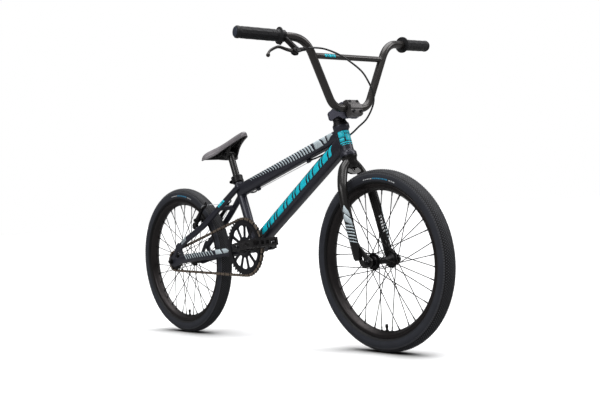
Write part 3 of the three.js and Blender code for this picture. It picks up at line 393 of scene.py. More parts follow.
# ---------------------------------------------------------------- materials
class Nodes:
    """A small helper that builds a material's node tree."""

    def __init__(self, name):
        self.material = bpy.data.materials.new(name)
        self.material.use_nodes = True
        self.tree = self.material.node_tree
        self.tree.nodes.clear()
        self.output = self.node("ShaderNodeOutputMaterial")
        self.shader = self.node("ShaderNodeBsdfPrincipled")
        self.link(self.shader.outputs[0], self.output.inputs["Surface"])
        self.coordinates = self.node("ShaderNodeTexCoord").outputs["Object"]

    def node(self, kind, **settings):
        made = self.tree.nodes.new(kind)
        for key, value in settings.items():
            setattr(made, key, value)
        return made

    def link(self, a, b):
        self.tree.links.new(a, b)

    def put(self, socket, value):
        target = self.shader.inputs[socket] if isinstance(socket, str) else socket
        if isinstance(value, bpy.types.NodeSocket):
            self.link(value, target)
        else:
            target.default_value = value

    def noise(self, scale, detail=3.0, roughness=0.5, stretch=(1, 1, 1), distortion=0.0):
        mapping = self.node("ShaderNodeMapping")
        mapping.inputs["Scale"].default_value = stretch
        self.link(self.coordinates, mapping.inputs["Vector"])
        made = self.node("ShaderNodeTexNoise")
        self.link(mapping.outputs[0], made.inputs["Vector"])
        made.inputs["Scale"].default_value = scale
        made.inputs["Detail"].default_value = detail
        made.inputs["Roughness"].default_value = roughness
        made.inputs["Distortion"].default_value = distortion
        return made.outputs["Fac"]

    def span(self, value, low, high, to_low, to_high):
        made = self.node("ShaderNodeMapRange")
        self.link(value, made.inputs["Value"])
        for key, number in (("From Min", low), ("From Max", high), ("To Min", to_low), ("To Max", to_high)):
            made.inputs[key].default_value = number
        return made.outputs[0]

    def mix(self, share, a, b):
        made = self.node("ShaderNodeMix", data_type="RGBA")
        for socket, value in ((made.inputs[0], share), (made.inputs[6], a), (made.inputs[7], b)):
            if isinstance(value, bpy.types.NodeSocket):
                self.link(value, socket)
            elif isinstance(value, (int, float)):
                socket.default_value = value
            else:
                socket.default_value = (*value, 1)
        return made.outputs[2]

    def sums(self, operation, a, b=None):
        made = self.node("ShaderNodeMath", operation=operation)
        for socket, value in zip(made.inputs, (a, b)):
            if value is None:
                continue
            if isinstance(value, bpy.types.NodeSocket):
                self.link(value, socket)
            else:
                socket.default_value = value
        return made.outputs[0]

    def edges(self, low=0.58, high=0.70):
        """1 on worn convex edges, 0 elsewhere."""
        pointiness = self.node("ShaderNodeNewGeometry").outputs["Pointiness"]
        return self.span(pointiness, low, high, 0, 1)

    def bump(self, height, strength, distance=0.0003):
        made = self.node("ShaderNodeBump")
        made.inputs["Strength"].default_value = strength
        made.inputs["Distance"].default_value = distance
        self.link(height, made.inputs["Height"])
        self.link(made.outputs[0], self.shader.inputs["Normal"])


def tinted(color, factor, plus=0.0):
    return [min(1, c * factor + plus) for c in color]


def painted(name, color, edge, roughness=0.33, coat=0.15):
    """Satin paint on metal: fine flake, faint dust, orange-peel bump and paler edges."""
    n = Nodes(name)
    cloud = n.noise(9, 4)
    fine = n.noise(420, 2)
    shade = n.mix(n.span(cloud, 0.3, 0.7, 0, 1), tinted(color, 0.86), tinted(color, 1.12))
    speck = n.mix(n.span(fine, 0.55, 0.8, 0, 0.05), shade, tinted(color, 4, 0.03))
    n.put("Base Color", n.mix(n.sums("MULTIPLY", n.edges(), 0.45), speck, edge))
    n.put("Metallic", 0.4)
    dusty = n.span(cloud, 0.3, 0.7, roughness - 0.04, roughness + 0.05)
    n.put("Roughness", n.sums("ADD", dusty, n.span(n.noise(60, 3), 0.4, 0.75, 0, 0.05)))
    n.put("Coat Weight", coat)
    n.put("Coat Roughness", 0.22)
    n.bump(n.sums("ADD", n.noise(240, 2), n.sums("MULTIPLY", n.noise(55, 2), 0.8)), 0.08, 0.00012)
    return n.material


def metal(name, color, roughness=0.3, grain=(1, 1, 1), grain_scale=220, wear=0.3, edge=None, metallic=1.0):
    """Machined or anodised metal: brushed grain, roughness patches and bright worn edges."""
    n = Nodes(name)
    grained = n.noise(grain_scale, 3, 0.6, grain)
    patches = n.noise(18, 3)
    tone = n.mix(n.span(patches, 0.3, 0.7, 0, 1), tinted(color, 0.85), tinted(color, 1.1))
    n.put("Base Color", n.mix(n.sums("MULTIPLY", n.edges(), wear), tone, edge or tinted(color, 2.2, 0.05)))
    n.put("Metallic", metallic)
    patchy = n.span(patches, 0.3, 0.7, roughness - 0.05, roughness + 0.05)
    n.put("Roughness", n.sums("ADD", patchy, n.span(grained, 0.3, 0.7, 0, 0.12)))
    n.bump(grained, 0.05, 0.0001)
    return n.material


def polymer(name, color, roughness=0.5, grain=900, grain_bump=0.25, edge=None, coat=0.0):
    """Moulded rubber or plastic: fine texture, cloudy tone and scuffed edges; on the pedals the paler edge
    colour is also a painted highlight.
    """
    n = Nodes(name)
    cloud = n.noise(14, 4, 0.6)
    fine = n.noise(grain * 0.4, 2, 0.5)
    tone = n.mix(n.span(cloud, 0.3, 0.72, 0, 1), tinted(color, 0.8), tinted(color, 1.2))
    # Convex edges take the edge colour: scuffing, and on the pedals a painted highlight.
    scuffs_and_edge_highlight = n.sums("MULTIPLY", n.edges(0.59, 0.70), 0.3)
    n.put("Base Color", n.mix(scuffs_and_edge_highlight, tone, edge or tinted(color, 2.0, 0.01)))
    cloudy = n.span(cloud, 0.3, 0.7, roughness - 0.06, roughness + 0.06)
    n.put("Roughness", n.sums("ADD", cloudy, n.span(fine, 0.3, 0.7, -0.03, 0.05)))
    n.put("Specular IOR Level", 0.35)
    n.put("Coat Weight", coat)
    n.put("Coat Roughness", 0.25)
    n.bump(n.sums("ADD", fine, n.sums("MULTIPLY", cloud, 0.5)), grain_bump * 0.4, 0.0002)
    return n.material


def decal_ink(name, color):
    """Printed vinyl: even ink with faint mottling, fine scratches and a clear film."""
    n = Nodes(name)
    mottled = n.noise(70, 4)
    scratches = n.noise(260, 2, 0.4, (1, 1, 9), 0.6)
    tone = n.mix(n.span(mottled, 0.3, 0.7, 0, 1), tinted(color, 0.88), tinted(color, 1.06))
    n.put("Base Color", n.mix(n.span(scratches, 0.7, 0.85, 0, 0.35), tone, tinted(color, 0.5)))
    n.put("Roughness", n.span(mottled, 0.3, 0.7, 0.35, 0.48))
    n.put("Coat Weight", 0.3)
    n.put("Coat Roughness", 0.3)
    n.bump(n.noise(420, 2), 0.1, 0.0001)
    return n.material


def tyre_rubber(name, low, high, painted_crown_shading):
    """Rubber: dusty patches and fine pores; the crown between the tread blocks takes a tone of its own, which
    is painted shade on the casing and a painted highlight on the paler blocks.
    """
    n = Nodes(name)
    dust = n.noise(26, 5, 0.65)
    pores = n.noise(480, 2)
    across = n.node("ShaderNodeSeparateXYZ")
    n.link(n.coordinates, across.inputs[0])
    # Inside this band the crown takes the painted shading tone: near-black shade on the casing between the
    # tread blocks.
    wall = n.span(n.sums("ABSOLUTE", across.outputs["Y"]), 0.0195, 0.0212, 0, 1)
    tone = n.mix(wall, painted_crown_shading, n.mix(n.span(dust, 0.35, 0.75, 0, 1), low, high))
    n.put("Base Color", n.mix(n.sums("MULTIPLY", n.edges(0.57, 0.68), 0.5), tone, (0.05, 0.052, 0.06)))
    n.put("Specular IOR Level", 0.3)
    n.put("Roughness", n.sums("ADD", n.span(dust, 0.3, 0.7, 0.5, 0.66), n.span(pores, 0.3, 0.7, 0, 0.06)))
    n.put("Sheen Weight", 0.04)
    n.bump(n.sums("ADD", pores, n.sums("MULTIPLY", dust, 0.6)), 0.12, 0.0003)
    return n.material


FRAME_PAINT = painted("frame_paint", (0.030, 0.031, 0.045), (0.10, 0.11, 0.16), coat=0.2)
BLACK_PAINT = painted("black_paint", (0.016, 0.0148, 0.014), (0.09, 0.088, 0.085), roughness=0.25, coat=0.2)
BAR_PAINT = painted("bar_paint", (0.040, 0.036, 0.034), (0.10, 0.095, 0.09), roughness=0.27, coat=0.25)
STEM_ALLOY = metal("stem_alloy", (0.13, 0.13, 0.17), 0.34, (1, 1, 8), edge=(0.2, 0.21, 0.26), metallic=0.45)
PLATE_ALLOY = metal("plate_alloy", (0.125, 0.118, 0.118), 0.34, (1, 8, 1), edge=(0.2, 0.19, 0.18),
                    metallic=0.45)
BLACK_ALLOY = metal("black_alloy", (0.022, 0.021, 0.022), 0.3, (1, 6, 1), metallic=0.75,
                    edge=(0.16, 0.16, 0.17))
DARK_ALLOY = metal("dark_alloy", (0.044, 0.043, 0.048), 0.3, (1, 6, 1), metallic=0.9, edge=(0.22, 0.22, 0.24))
RIM_ALLOY = metal("rim_alloy", (0.034, 0.030, 0.030), 0.3, (1, 1, 1), 200, metallic=0.8,
                  edge=(0.14, 0.15, 0.17))
DARK_STEEL = metal("dark_steel", (0.035, 0.035, 0.037), 0.3, wear=0.25, edge=(0.12, 0.12, 0.13))
BRIGHT_STEEL = metal("bright_steel", (0.55, 0.56, 0.58), 0.22, wear=0.3)
SPOKE_STEEL = metal("spoke_steel", (0.016, 0.015, 0.015), 0.3, (1, 1, 1), 500, wear=0.2)
CHAIN_STEEL = metal("chain_steel", (0.30, 0.24, 0.19), 0.3, wear=0.3, edge=(0.36, 0.30, 0.25))
CHAIN_DARK = metal("chain_dark", (0.022, 0.019, 0.017), 0.4, wear=0.1, edge=(0.10, 0.09, 0.08))
GUNMETAL = metal("gunmetal", (0.05, 0.047, 0.046), 0.3, (6, 1, 1), edge=(0.16, 0.16, 0.16))
# The casing's near-black crown paints shade in the gaps between the tread blocks; the tread blocks are paler
# than the casing as a painted highlight on their tops.
TYRE_RUBBER = tyre_rubber("tyre_rubber", (0.025, 0.027, 0.035), (0.037, 0.040, 0.051), (0.007, 0.007, 0.008))
LIGHTENED_TREAD_RUBBER = tyre_rubber("lightened_tread_rubber", (0.070, 0.072, 0.080), (0.085, 0.088, 0.098),
                           (0.078, 0.080, 0.089))
GRIP_RUBBER = polymer("grip_rubber", (0.012, 0.012, 0.0135), 0.55, 700, 0.1)
# The pedals' pale edge colour is scuffing and a painted highlight along their edges.
PEDAL_PLASTIC = polymer("pedal_plastic", (0.013, 0.012, 0.0125), 0.4, 700, 0.1, edge=(0.06, 0.056, 0.055))
# The saddle shell's pale grey is partly its own tone and partly a painted highlight: the colour is raised to
# the brightness of the bright band on its top.
LIGHTENED_SADDLE_PLASTIC = polymer("saddle_plastic", (0.20, 0.185, 0.195), 0.3, 400, 0.03, coat=0.4,
                         edge=(0.12, 0.12, 0.13))
UNDER_PLASTIC = polymer("under_plastic", (0.022, 0.021, 0.021), 0.5, 900, 0.25)
CABLE_SHEATH = polymer("cable_sheath", (0.012, 0.012, 0.013), 0.32, 1300, 0.08, coat=0.3)
PAD_RUBBER = polymer("pad_rubber", (0.02, 0.02, 0.021), 0.7, 700, 0.4)
NOODLE_STEEL = metal("noodle_steel", (0.22, 0.22, 0.23), 0.28, wear=0.3)
CYAN_INK = decal_ink("cyan_ink", (0.0, 0.76, 0.94))
PALE_INK = decal_ink("pale_ink", (0.60, 0.70, 0.74))
BLUE_INK = decal_ink("blue_ink", (0.03, 0.30, 0.52))
WHITE_INK = decal_ink("white_ink", (0.75, 0.77, 0.78))


# ---------------------------------------------------------------- making objects
def make(name, shape, materials, body, replaces=(), slot=None, bevel=0.0, sharp=32, segments=2, solidify=0.0):
    """Turns a shape into an object that rides on a CAD body, when one is named."""
    mesh = bpy.data.meshes.new(name)
    mesh.from_pydata([tuple(p * METRES) for p in shape.points], [], shape.faces)
    materials = materials if isinstance(materials, (list, tuple)) else [materials]
    for material in materials:
        mesh.materials.append(material)
    mesh.polygons.foreach_set("material_index", shape.slots)
    made = bmesh.new()
    made.from_mesh(mesh)
    bmesh.ops.remove_doubles(made, verts=made.verts, dist=1e-7)
    bmesh.ops.dissolve_degenerate(made, edges=made.edges, dist=1e-7)
    if not solidify:
        bmesh.ops.recalc_face_normals(made, faces=made.faces)
    made.to_mesh(mesh)
    made.free()
    mesh.shade_smooth()
    mesh.set_sharp_from_angle(angle=math.radians(sharp))
    thing = bpy.data.objects.new(name, mesh)
    bpy.context.scene.collection.objects.link(thing)
    if solidify:
        thick = thing.modifiers.new("thickness", "SOLIDIFY")
        thick.thickness = solidify * METRES
        thick.offset = 1
    if bevel:
        round_off = thing.modifiers.new("rounded_edges", "BEVEL")
        round_off.width = bevel * METRES
        round_off.segments = segments
        round_off.limit_method = "ANGLE"
        round_off.angle_limit = math.radians(40)
    if isinstance(body, str):
        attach(thing, body)
    if replaces:
        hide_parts(*replaces)
    return thing


def decal(shape, sweep, corners, lift=0.28, across=10, slot=0):
    """A printed four-cornered mark on a tube; its corners are (distance along, degrees round)."""
    (s0, a0), (s1, a1), (s2, a2), (s3, a3) = corners
    along = max(2, int(max(abs(s1 - s0), abs(s2 - s3)) / 5))
    points, faces = [], []
    for i in range(across + 1):
        v = i / across
        for j in range(along + 1):
            u = j / along
            s = (s0 * (1 - u) + s1 * u) * (1 - v) + (s3 * (1 - u) + s2 * u) * v
            a = (a0 * (1 - u) + a1 * u) * (1 - v) + (a3 * (1 - u) + a2 * u) * v
            points.append(sweep.place(s, a, lift))
    for i in range(across):
        for j in range(along):
            k = i * (along + 1) + j
            faces.append((k, k + 1, k + along + 2, k + along + 1))
    middle_along = (s0 + s1 + s2 + s3) / 4
    middle_round = (a0 + a1 + a2 + a3) / 4
    outward = sweep.place(middle_along, middle_round, 5) - sweep.place(middle_along, middle_round, 0)
    k = (across // 2) * (along + 1) + along // 2
    normal = (points[k + 1] - points[k]).cross(points[k + along + 1] - points[k])
    if normal.dot(outward) < 0:
        faces = [tuple(reversed(f)) for f in faces]
    return shape.add(points, faces, slot)


# ---------------------------------------------------------------- frame
HEAD_PROFILE = [[15.6, 308.9], [23.0, 308.6], [23.5, 309.2], [23.5, 316.6], [22.9, 318.4], [20.2, 321.6],
                [18.8, 324.6],
                [18.5, 328], [18.5, 380], [18.8, 383.5], [20.2, 386.6], [22.9, 389.4], [23.5, 391.2],
                [23.5, 397.0],
                [23.0, 397.5], [15.6, 397.3], [15.6, 308.9]]
DOWN_TUBE = Sweep(straight(CRANK + Vector((8, 0, 6)), on_head(0, 0, 351), 40),
                  mixed((19.5, 20.5), (17.5, 25)), power=3.6)
TOP_TUBE = Sweep(straight(on_seat_tube(188), on_head(0, 0, 376), 40), mixed((15, 20.5), (16.6, 17.6)),
                 power=3.2)
SEAT_TUBE = Sweep(straight(on_seat_tube(0), on_seat_tube(236), 24), SEAT_TUBE_RADIUS)
SEAT_STAY = Sweep(smooth_path([(348, 14, 484), (257, 31, 418), (174, 43, 362), (89, 55, 318), (42, 58, 288)],
                              7),
                  mixed((8, 10), (6, 11)), power=2.4)
CHAIN_STAY = Sweep(smooth_path([(392, 20, 285), (330, 29, 280), (285, 35, 275), (210, 51, 268),
                                (120, 57, 260),
                                (55, 58, 252)], 7), mixed((7, 13), (6, 14)), power=2.4)
RIGHT_SEAT_STAY = Sweep([mirror(p) for p in SEAT_STAY.path], SEAT_STAY.half, power=2.4)
RIGHT_CHAIN_STAY = Sweep([mirror(p) for p in CHAIN_STAY.path], CHAIN_STAY.half, power=2.4)
DROPOUT_INNER, DROPOUT_OUTER = 55.0, 60.0
SHELL_RADIUS = 20  # the bottom bracket shell


def cable_stop(shape, x, z, post):
    """A slotted stop on a small post under a tube."""
    shape.lathe([[1.4, -6], [4.4, -6], [5, -5.2], [5, 5.2], [4.4, 6], [3, 6], [2.8, -1], [1.4, -1.2],
                 [1.4, -6]],
                (x, 0, z), (6, 0, 1.6), 20)
    shape.box((x - 3.2, z + 3.5, -2.2), (x + 3.2, z + post, 2.2), side_place)


def frame_shape():
    shape = Shape()
    shape.lathe(HEAD_PROFILE, HEAD_FOOT, HEAD_UP, 64)
    DOWN_TUBE.into(shape, 48)
    TOP_TUBE.into(shape, 48)
    tube_profile = [[11.5, 54], [SEAT_TUBE_RADIUS, 0], [SEAT_TUBE_RADIUS, 234], [13.6, 236], [12.6, 236],
                    [11.5, 54]]
    shape.lathe(tube_profile, CRANK, SEAT_UP, 48)
    shape.lathe([[17.7, -34], [19.4, -34], [20, -33.4], [20, 33.4], [19.4, 34], [17.7, 34], [17.7, -34]],
                CRANK, LEFT, 56)
    for stay in (SEAT_STAY, RIGHT_SEAT_STAY, CHAIN_STAY, RIGHT_CHAIN_STAY):
        stay.into(shape, 28)
    Sweep(straight((257, -31, 418), (257, 31, 418), 8), 8, across=(1, 0, 0)).into(shape, 24)
    Sweep(straight((330, -30, 280), (330, 30, 280), 8), 7, across=(1, 0, 0)).into(shape, 24)
    for x, z in ((678, 538), (433, 470)):
        cable_stop(shape, x, z, 14)
    for side in (-1, 1):
        base = on_brake(PIVOT_OUT, PIVOT_LEFT * side, -24)
        shape.lathe([[0, 0], [10, 0], [10.5, 3], [8.2, 8], [8, 15], [7.2, 16], [4, 16.4], [4, 31], [3.2, 32],
                     [0, 32]],
                    base, BRAKE_BACK, 32)
    return shape


def frame_welds():
    shape = Shape()
    weld(shape, DOWN_TUBE, HEAD_FOOT, HEAD_UP, HEAD_RADIUS)
    weld(shape, TOP_TUBE, HEAD_FOOT, HEAD_UP, HEAD_RADIUS)
    weld(shape, DOWN_TUBE, CRANK, LEFT, SHELL_RADIUS, at_end=False)
    weld(shape, TOP_TUBE, CRANK, SEAT_UP, SEAT_TUBE_RADIUS, at_end=False)
    weld(shape, SEAT_TUBE, CRANK, LEFT, SHELL_RADIUS, 1.5, at_end=False, count=60)
    for stay in (SEAT_STAY, RIGHT_SEAT_STAY):
        weld(shape, stay, CRANK, SEAT_UP, SEAT_TUBE_RADIUS, 1.2, at_end=False, count=40)
    for stay in (CHAIN_STAY, RIGHT_CHAIN_STAY):
        weld(shape, stay, CRANK, LEFT, SHELL_RADIUS, 1.3, at_end=False, count=44)
    return shape


def dropouts_shape():
    """Both rear dropouts: an axle boss, a foot for each stay and a window."""
    shape = Shape()
    outline = arc(REAR.x, REAR.z, 16, 105, 285, 20) + [(14, 229.5), (30, 232), (55, 238), (74, 241),
                                                       (78, 250), (77, 262), (70, 272)]
    outline += [(64, 286), (62, 298), (54, 308), (44, 310), (36, 304), (24, 288), (10, 268)]
    window = [(22, 262), (30, 257), (48, 262), (52, 268), (44, 284), (39, 286)]
    hole = drilled(REAR.x, REAR.z, 5.4, 20)
    shape.prism(outline, DROPOUT_INNER, DROPOUT_OUTER, side_place, [list(reversed(window)), hole])
    boss = [[5.4, -0.6], [12.5, -0.6], [12.5, 5.0], [12.0, 5.6], [5.4, 5.6], [5.4, -0.6]]
    shape.lathe(boss, (REAR.x, DROPOUT_INNER, REAR.z), LEFT, 40)
    return shape.join(shape.mirrored())


make("frame_tubes", frame_shape(), FRAME_PAINT, "frame", ["frame"], "frame_paint", bevel=0.5, segments=2)
make("frame_welds", frame_welds(), FRAME_PAINT, "frame", slot="frame_paint", sharp=60)
make("frame_dropouts", dropouts_shape(), FRAME_PAINT, "frame", slot="frame_paint", bevel=0.9, segments=3)


# ---------------------------------------------------------------- graphics on the frame
def slanted(shape, sweep, start, width, low, high, lean, lift=0.28):
    """A slanted bar: its top edge is pushed forward by the lean."""
    decal(shape, sweep, [(start, low), (start + width, low), (start + width + lean, high),
                         (start + lean, high)], lift)


def down_tube_graphics():
    """A run of plain slanted blocks and slashes along the upper edge of each side of the down tube."""
    shape = Shape()
    for low, high in ((-5, 31), (185, 149)):
        at = DOWN_TUBE.length * 0.12
        for width in (30, 8, 21, 8, 36, 12, 28, 8, 20, 32, 8, 14, 30, 8, 26, 14):
            slanted(shape, DOWN_TUBE, at, width, low, high, 17)
            at += width + 6.5
    return shape


def top_tube_graphics():
    """Shards near the head and stripes that thin out towards the seat, on both sides."""
    shape = Shape()
    length = TOP_TUBE.length
    for foot, crest, turn in ((-16, 58, 1), (196, 122, -1)):
        for i in range(25):
            at = length * (0.13 + 0.0248 * i)
            width = 2.0 + 5.4 * (i / 24) ** 0.8
            low = foot + turn * 26 * (1 - i / 24)
            slanted(shape, TOP_TUBE, at + 19, width, low, crest, -19)
        at = length * 0.765
        shards = (((14, foot), (50, foot), (28, crest), (2, crest)),
                  ((56, foot + turn * 6), (66, foot + turn * 6), (58, crest), (34, crest)),
                  ((72, foot + turn * 10), (96, foot + turn * 30), (88, crest), (64, crest)))
        for corners in shards:
            decal(shape, TOP_TUBE, [(at + s, a) for s, a in corners])
    return shape


def stay_graphics():
    """Stripes and shards on the chain stays' upper outer sides, and short stripes low on the seat stays."""
    shape = Shape()
    for sweep, foot, crest in ((CHAIN_STAY, 6, -74), (RIGHT_CHAIN_STAY, 174, 254)):
        length = sweep.length
        for i in range(12):
            slanted(shape, sweep, length * 0.46 + 12.6 * i, 4.4, foot, crest, 15, 0.25)
        at = length * 0.12
        shards = (((78, foot), (106, foot), (112, crest), (92, crest)),
                  ((40, foot), (72, foot), (84, crest), (66, crest)),
                  ((6, foot), (32, foot), (58, crest), (34, crest)))
        for corners in shards:
            decal(shape, sweep, [(at + s, a) for s, a in corners], 0.25)
    for sweep, foot, crest in ((SEAT_STAY, 20, -60), (RIGHT_SEAT_STAY, 160, 240)):
        for i in range(6):
            slanted(shape, sweep, sweep.length * 0.835 + 5 * i, 2.3, foot, crest, -5, 0.25)
    return shape


def stay_marks():
    """A broken band on each seat stay's upper part."""
    shape = Shape()
    for sweep, low, high in ((SEAT_STAY, 14, -40), (RIGHT_SEAT_STAY, 166, 220)):
        at = sweep.length * 0.2
        for width in (9, 4, 10, 5):
            slanted(shape, sweep, at, width, low, high, 5, 0.25)
            at += width + 1.8
    return shape


HEAD_TUBE = Sweep(straight(on_head(0, 0, 326), on_head(0, 0, 382), 12), HEAD_RADIUS)


def head_graphics():
    """Blocks stacked on the front and both sides of the head tube, with dark gaps between them."""
    shape = Shape()
    blocks = ((36, 54, 178, 236), (24, 34, 178, 226), (46, 54, 239, 362), (24, 44, 241, 292),
              (36, 44, 297, 362), (24, 33.5, 297, 362),
              (18, 21.5, 178, 362), (13.5, 15.5, 190, 225), (13.5, 15.5, 229, 262), (13.5, 15.5, 278, 311),
              (13.5, 15.5, 315, 350))
    for low, high, start, end in blocks:
        decal(shape, HEAD_TUBE, [(low, start), (high, start), (high, end), (low, end)], 0.3,
              across=max(3, (end - start) // 5))
    return shape


for name, shape, ink in (("down_tube_graphics", down_tube_graphics(), CYAN_INK),
                         ("top_tube_graphics", top_tube_graphics(), PALE_INK),
                         ("chain_stay_graphics", stay_graphics(), PALE_INK),
                         ("seat_stay_graphics", stay_marks(), CYAN_INK),
                         ("head_tube_graphics", head_graphics(), CYAN_INK)):
    make(name, shape, ink, "frame", slot="frame_paint", solidify=0.1, sharp=60)


# ---------------------------------------------------------------- wheels
TREAD_ROWS = 11
TREAD_AROUND = 210
TREAD_PITCH = 3.3
BLOCK_REACH, BLOCK_WIDE = 2.9, 2.5  # half a tread block's length and width
CROWN = [(0, 246.9), (7, 246.4), (13, 244.2), (17.5, 240.5),
         (20.6, 235.6)]  # the casing's crown, as (y, radius)
SIDEWALL = [(220.6, 22.1), (225.5, 22.5), (229.5, 22.28)]  # where the sidewall is printed, as (radius, y)


def tyre_shape():
    """The casing: a fine ridge on each sidewall, a bead in the rim, and an open inside."""
    outer = [(21.2, 234.6), (21.5, 233.9), (22.3, 229.5), (22.5, 225.5), (22.1, 220.6), (20.8, 216.4),
             (20.9, 215.6),
             (19.7, 214.2), (17.2, 211.0), (14.2, 209.4), (12.5, 208.4), (12.4, 204.0)]
    inner = [(8.8, 204.0), (9.0, 209.5), (16.0, 215.5), (18.6, 224), (17.6, 232), (12, 240), (0, 243.4)]
    return Shape().lathe(both_walls(CROWN + outer + inner), (0, 0, 0), LEFT, 180)


def tread_shape():
    """Small diamond blocks in rows round the crown, and a broken ridge at each shoulder."""
    shape = Shape()
    for row in range(TREAD_ROWS):
        y = (row - (TREAD_ROWS - 1) / 2) * TREAD_PITCH
        for k in range(TREAD_AROUND):
            angle = 2 * math.pi * (k + (0.5 if row % 2 else 0)) / TREAD_AROUND
            corners = ((-BLOCK_REACH, 0), (0, -BLOCK_WIDE), (BLOCK_REACH, 0), (0, BLOCK_WIDE))
            base, top = [], []
            for along, aside in corners:
                a = angle + along / 246
                place = y + aside
                r = value_at(CROWN, abs(place))
                base.append((math.cos(a) * (r - 1.2), place, math.sin(a) * (r - 1.2)))
                a = angle + along * 0.5 / 246
                place = y + aside * 0.5
                r = min(value_at(CROWN, abs(place)) + 0.9, TYRE_RADIUS - 0.02)
                top.append((math.cos(a) * r, place, math.sin(a) * r))
            faces = [(0, 3, 2, 1), (4, 5, 6, 7)] + [(i, (i + 1) % 4, 4 + (i + 1) % 4,
                                                     4 + i) for i in range(4)]
            shape.add(base + top, faces)
    for side in (-1, 1):
        for k in range(TREAD_AROUND):
            a0 = 2 * math.pi * (k + 0.14) / TREAD_AROUND
            a1 = 2 * math.pi * (k + 0.86) / TREAD_AROUND
            points = []
            for a in (a0, a1):
                for y, r in ((18.6, 238.2), (20.4, 238.6), (21.9, 234.0), (20.6, 233.4)):
                    points.append((math.cos(a) * r, side * y, math.sin(a) * r))
            shape.add(points, [(0, 1, 2, 3), (7, 6, 5, 4), (0, 4, 5, 1), (1, 5, 6, 2), (2, 6, 7, 3),
                               (3, 7, 4, 0)])
    return shape


def sidewall_mark(shape, start, end, low, high, slot, side):
    """A printed arc on a sidewall, as a thin solid strip."""
    steps = max(2, int((end - start) / 2))
    rings = []
    for i in range(steps + 1):
        a = math.radians(start + (end - start) * i / steps)
        edges = ((low, 0.3), ((low + high) / 2, 0.3), (high, 0.3), (high, -0.3), (low, -0.3))
        rings.append([Vector((math.cos(a) * r, side * (value_at(SIDEWALL, r) + lift), math.sin(a) * r))
                      for r, lift in edges])
    shape.skin(rings, slot)


def tyre_marks():
    """Plain dashes on each sidewall: a blue run between two white ones."""
    shape = Shape()
    runs = ((68, 0.7, 221.2, 224.2, 1, (1.6, 1.1, 1.5)),
            (75, 0.5, 221.2, 224.8, 0, (1.8, 1.0, 1.6, 0.8, 1.9, 1.2, 1.5, 1.0)),
            (90.2, 0.6, 221.4, 224.0, 1, (1.3, 0.8, 1.5, 1.0, 1.4)))
    for side in (-1, 1):
        for at, gap, low, high, slot, sizes in runs:
            for size in sizes:
                sidewall_mark(shape, at, at + size, low, high, slot, side)
                at += size + gap
    return shape


def rim_shape():
    half = [(0, 191.0), (3.2, 190.4), (4.6, 191.6), (10.5, 196.4), (14.6, 199.0), (15.6, 200.6),
            (15.9, 202.2),
            (15.9, 207.6), (15.3, 209.0), (14.0, 209.4), (13.0, 208.6), (12.9, 206.4), (13.6, 203.6),
            (12.6, 203.2),
            (6.5, 196.4), (0, 195.2)]
    return Shape().lathe(both_walls(half), (0, 0, 0), LEFT, 144)


SPOKES_A_SIDE = 18
SPOKE_PITCH = 360 / SPOKES_A_SIDE
SPOKE_HUB, SPOKE_RIM = 20.4, 188.0
FLANGE_Y = 33.4
THREAD_PITCH = 1.25


def spoke_angles(i, side):
    """A spoke's angles at the rim and, three crossings away, at the hub."""
    rim = math.radians((i + (0.75 if side > 0 else 0.25)) * SPOKE_PITCH)
    return rim, rim + math.radians((1 if i % 2 else -1) * 3 * SPOKE_PITCH)


def spokes_shape(hub_y, rim_y):
    """One side's spokes in a three-cross pattern: elbow, straight run and the nipple's seat."""
    shape = Shape()
    side = 1 if hub_y > 0 else -1
    for i in range(SPOKES_A_SIDE):
        rim_angle, hub_angle = spoke_angles(i, side)
        outside = -side if i % 2 else side
        hub = Vector((SPOKE_HUB * math.cos(hub_angle), hub_y + outside * 2.4,
                      SPOKE_HUB * math.sin(hub_angle)))
        rim = Vector((SPOKE_RIM * math.cos(rim_angle), rim_y, SPOKE_RIM * math.sin(rim_angle)))
        head = Vector((hub.x, hub_y - outside * 2.6, hub.z))
        along = (rim - hub).normalized()
        path = [head, hub - Vector((0, outside * 0.6, 0)), hub + along * 1.4 + Vector((0, outside * 0.2, 0))]
        path += [hub.lerp(rim, t) for t in (0.06, 0.35, 0.7, 1.0)]
        Sweep(path, 1.25, across=(math.cos(hub_angle + 1.57), 0, math.sin(hub_angle + 1.57))).into(shape, 8)
        shape.lathe([[0, -0.6], [1.9, -0.4], [1.9, 0.4], [0, 1.0]], head, (0, -outside, 0), 10)
    return shape


def nipples_shape(rim_y, side):
    shape = Shape()
    for i in range(SPOKES_A_SIDE):
        rim_angle, hub_angle = spoke_angles(i, side)
        rim = Vector((SPOKE_RIM * math.cos(rim_angle), rim_y, SPOKE_RIM * math.sin(rim_angle)))
        hub = Vector((SPOKE_HUB * math.cos(hub_angle), side * FLANGE_Y, SPOKE_HUB * math.sin(hub_angle)))
        along = (rim - hub).normalized()
        shape.lathe([[0, -9.5], [1.5, -9.5], [1.9, -8.8], [1.9, 0], [2.6, 1.4], [2.6, 4.2], [0, 4.2]],
                    rim, along, 8)
    return shape


def hub_shape(right, left, half, seat):
    """A machined shell with two flanges."""
    profile = [[seat, -half], [seat, right - 4.0], [14.5, right - 3.0], [15.2, right - 1.6],
               [22.2, right - 1.5], [22.8, right - 1.0],
               [22.8, right + 1.0], [22.2, right + 1.5], [17, right + 2.2], [12.5, right + 5],
               [9.6, right + 10],
               [9.0, right + 16], [9.0, left - 16], [9.6, left - 10], [12.5, left - 5], [17, left - 2.2],
               [22.2, left - 1.5], [22.8, left - 1.0], [22.8, left + 1.0], [22.2, left + 1.5],
               [15.2, left + 1.6],
               [13.2, left + 3.0], [13, half - 0.8], [12.2, half], [8.8, half], [8.8, 30], [6, 28], [6, -28],
               [8.8, -30], [8.8, -half],
               [seat, -half]]
    return Shape().lathe(profile, (0, 0, 0), LEFT, 48)


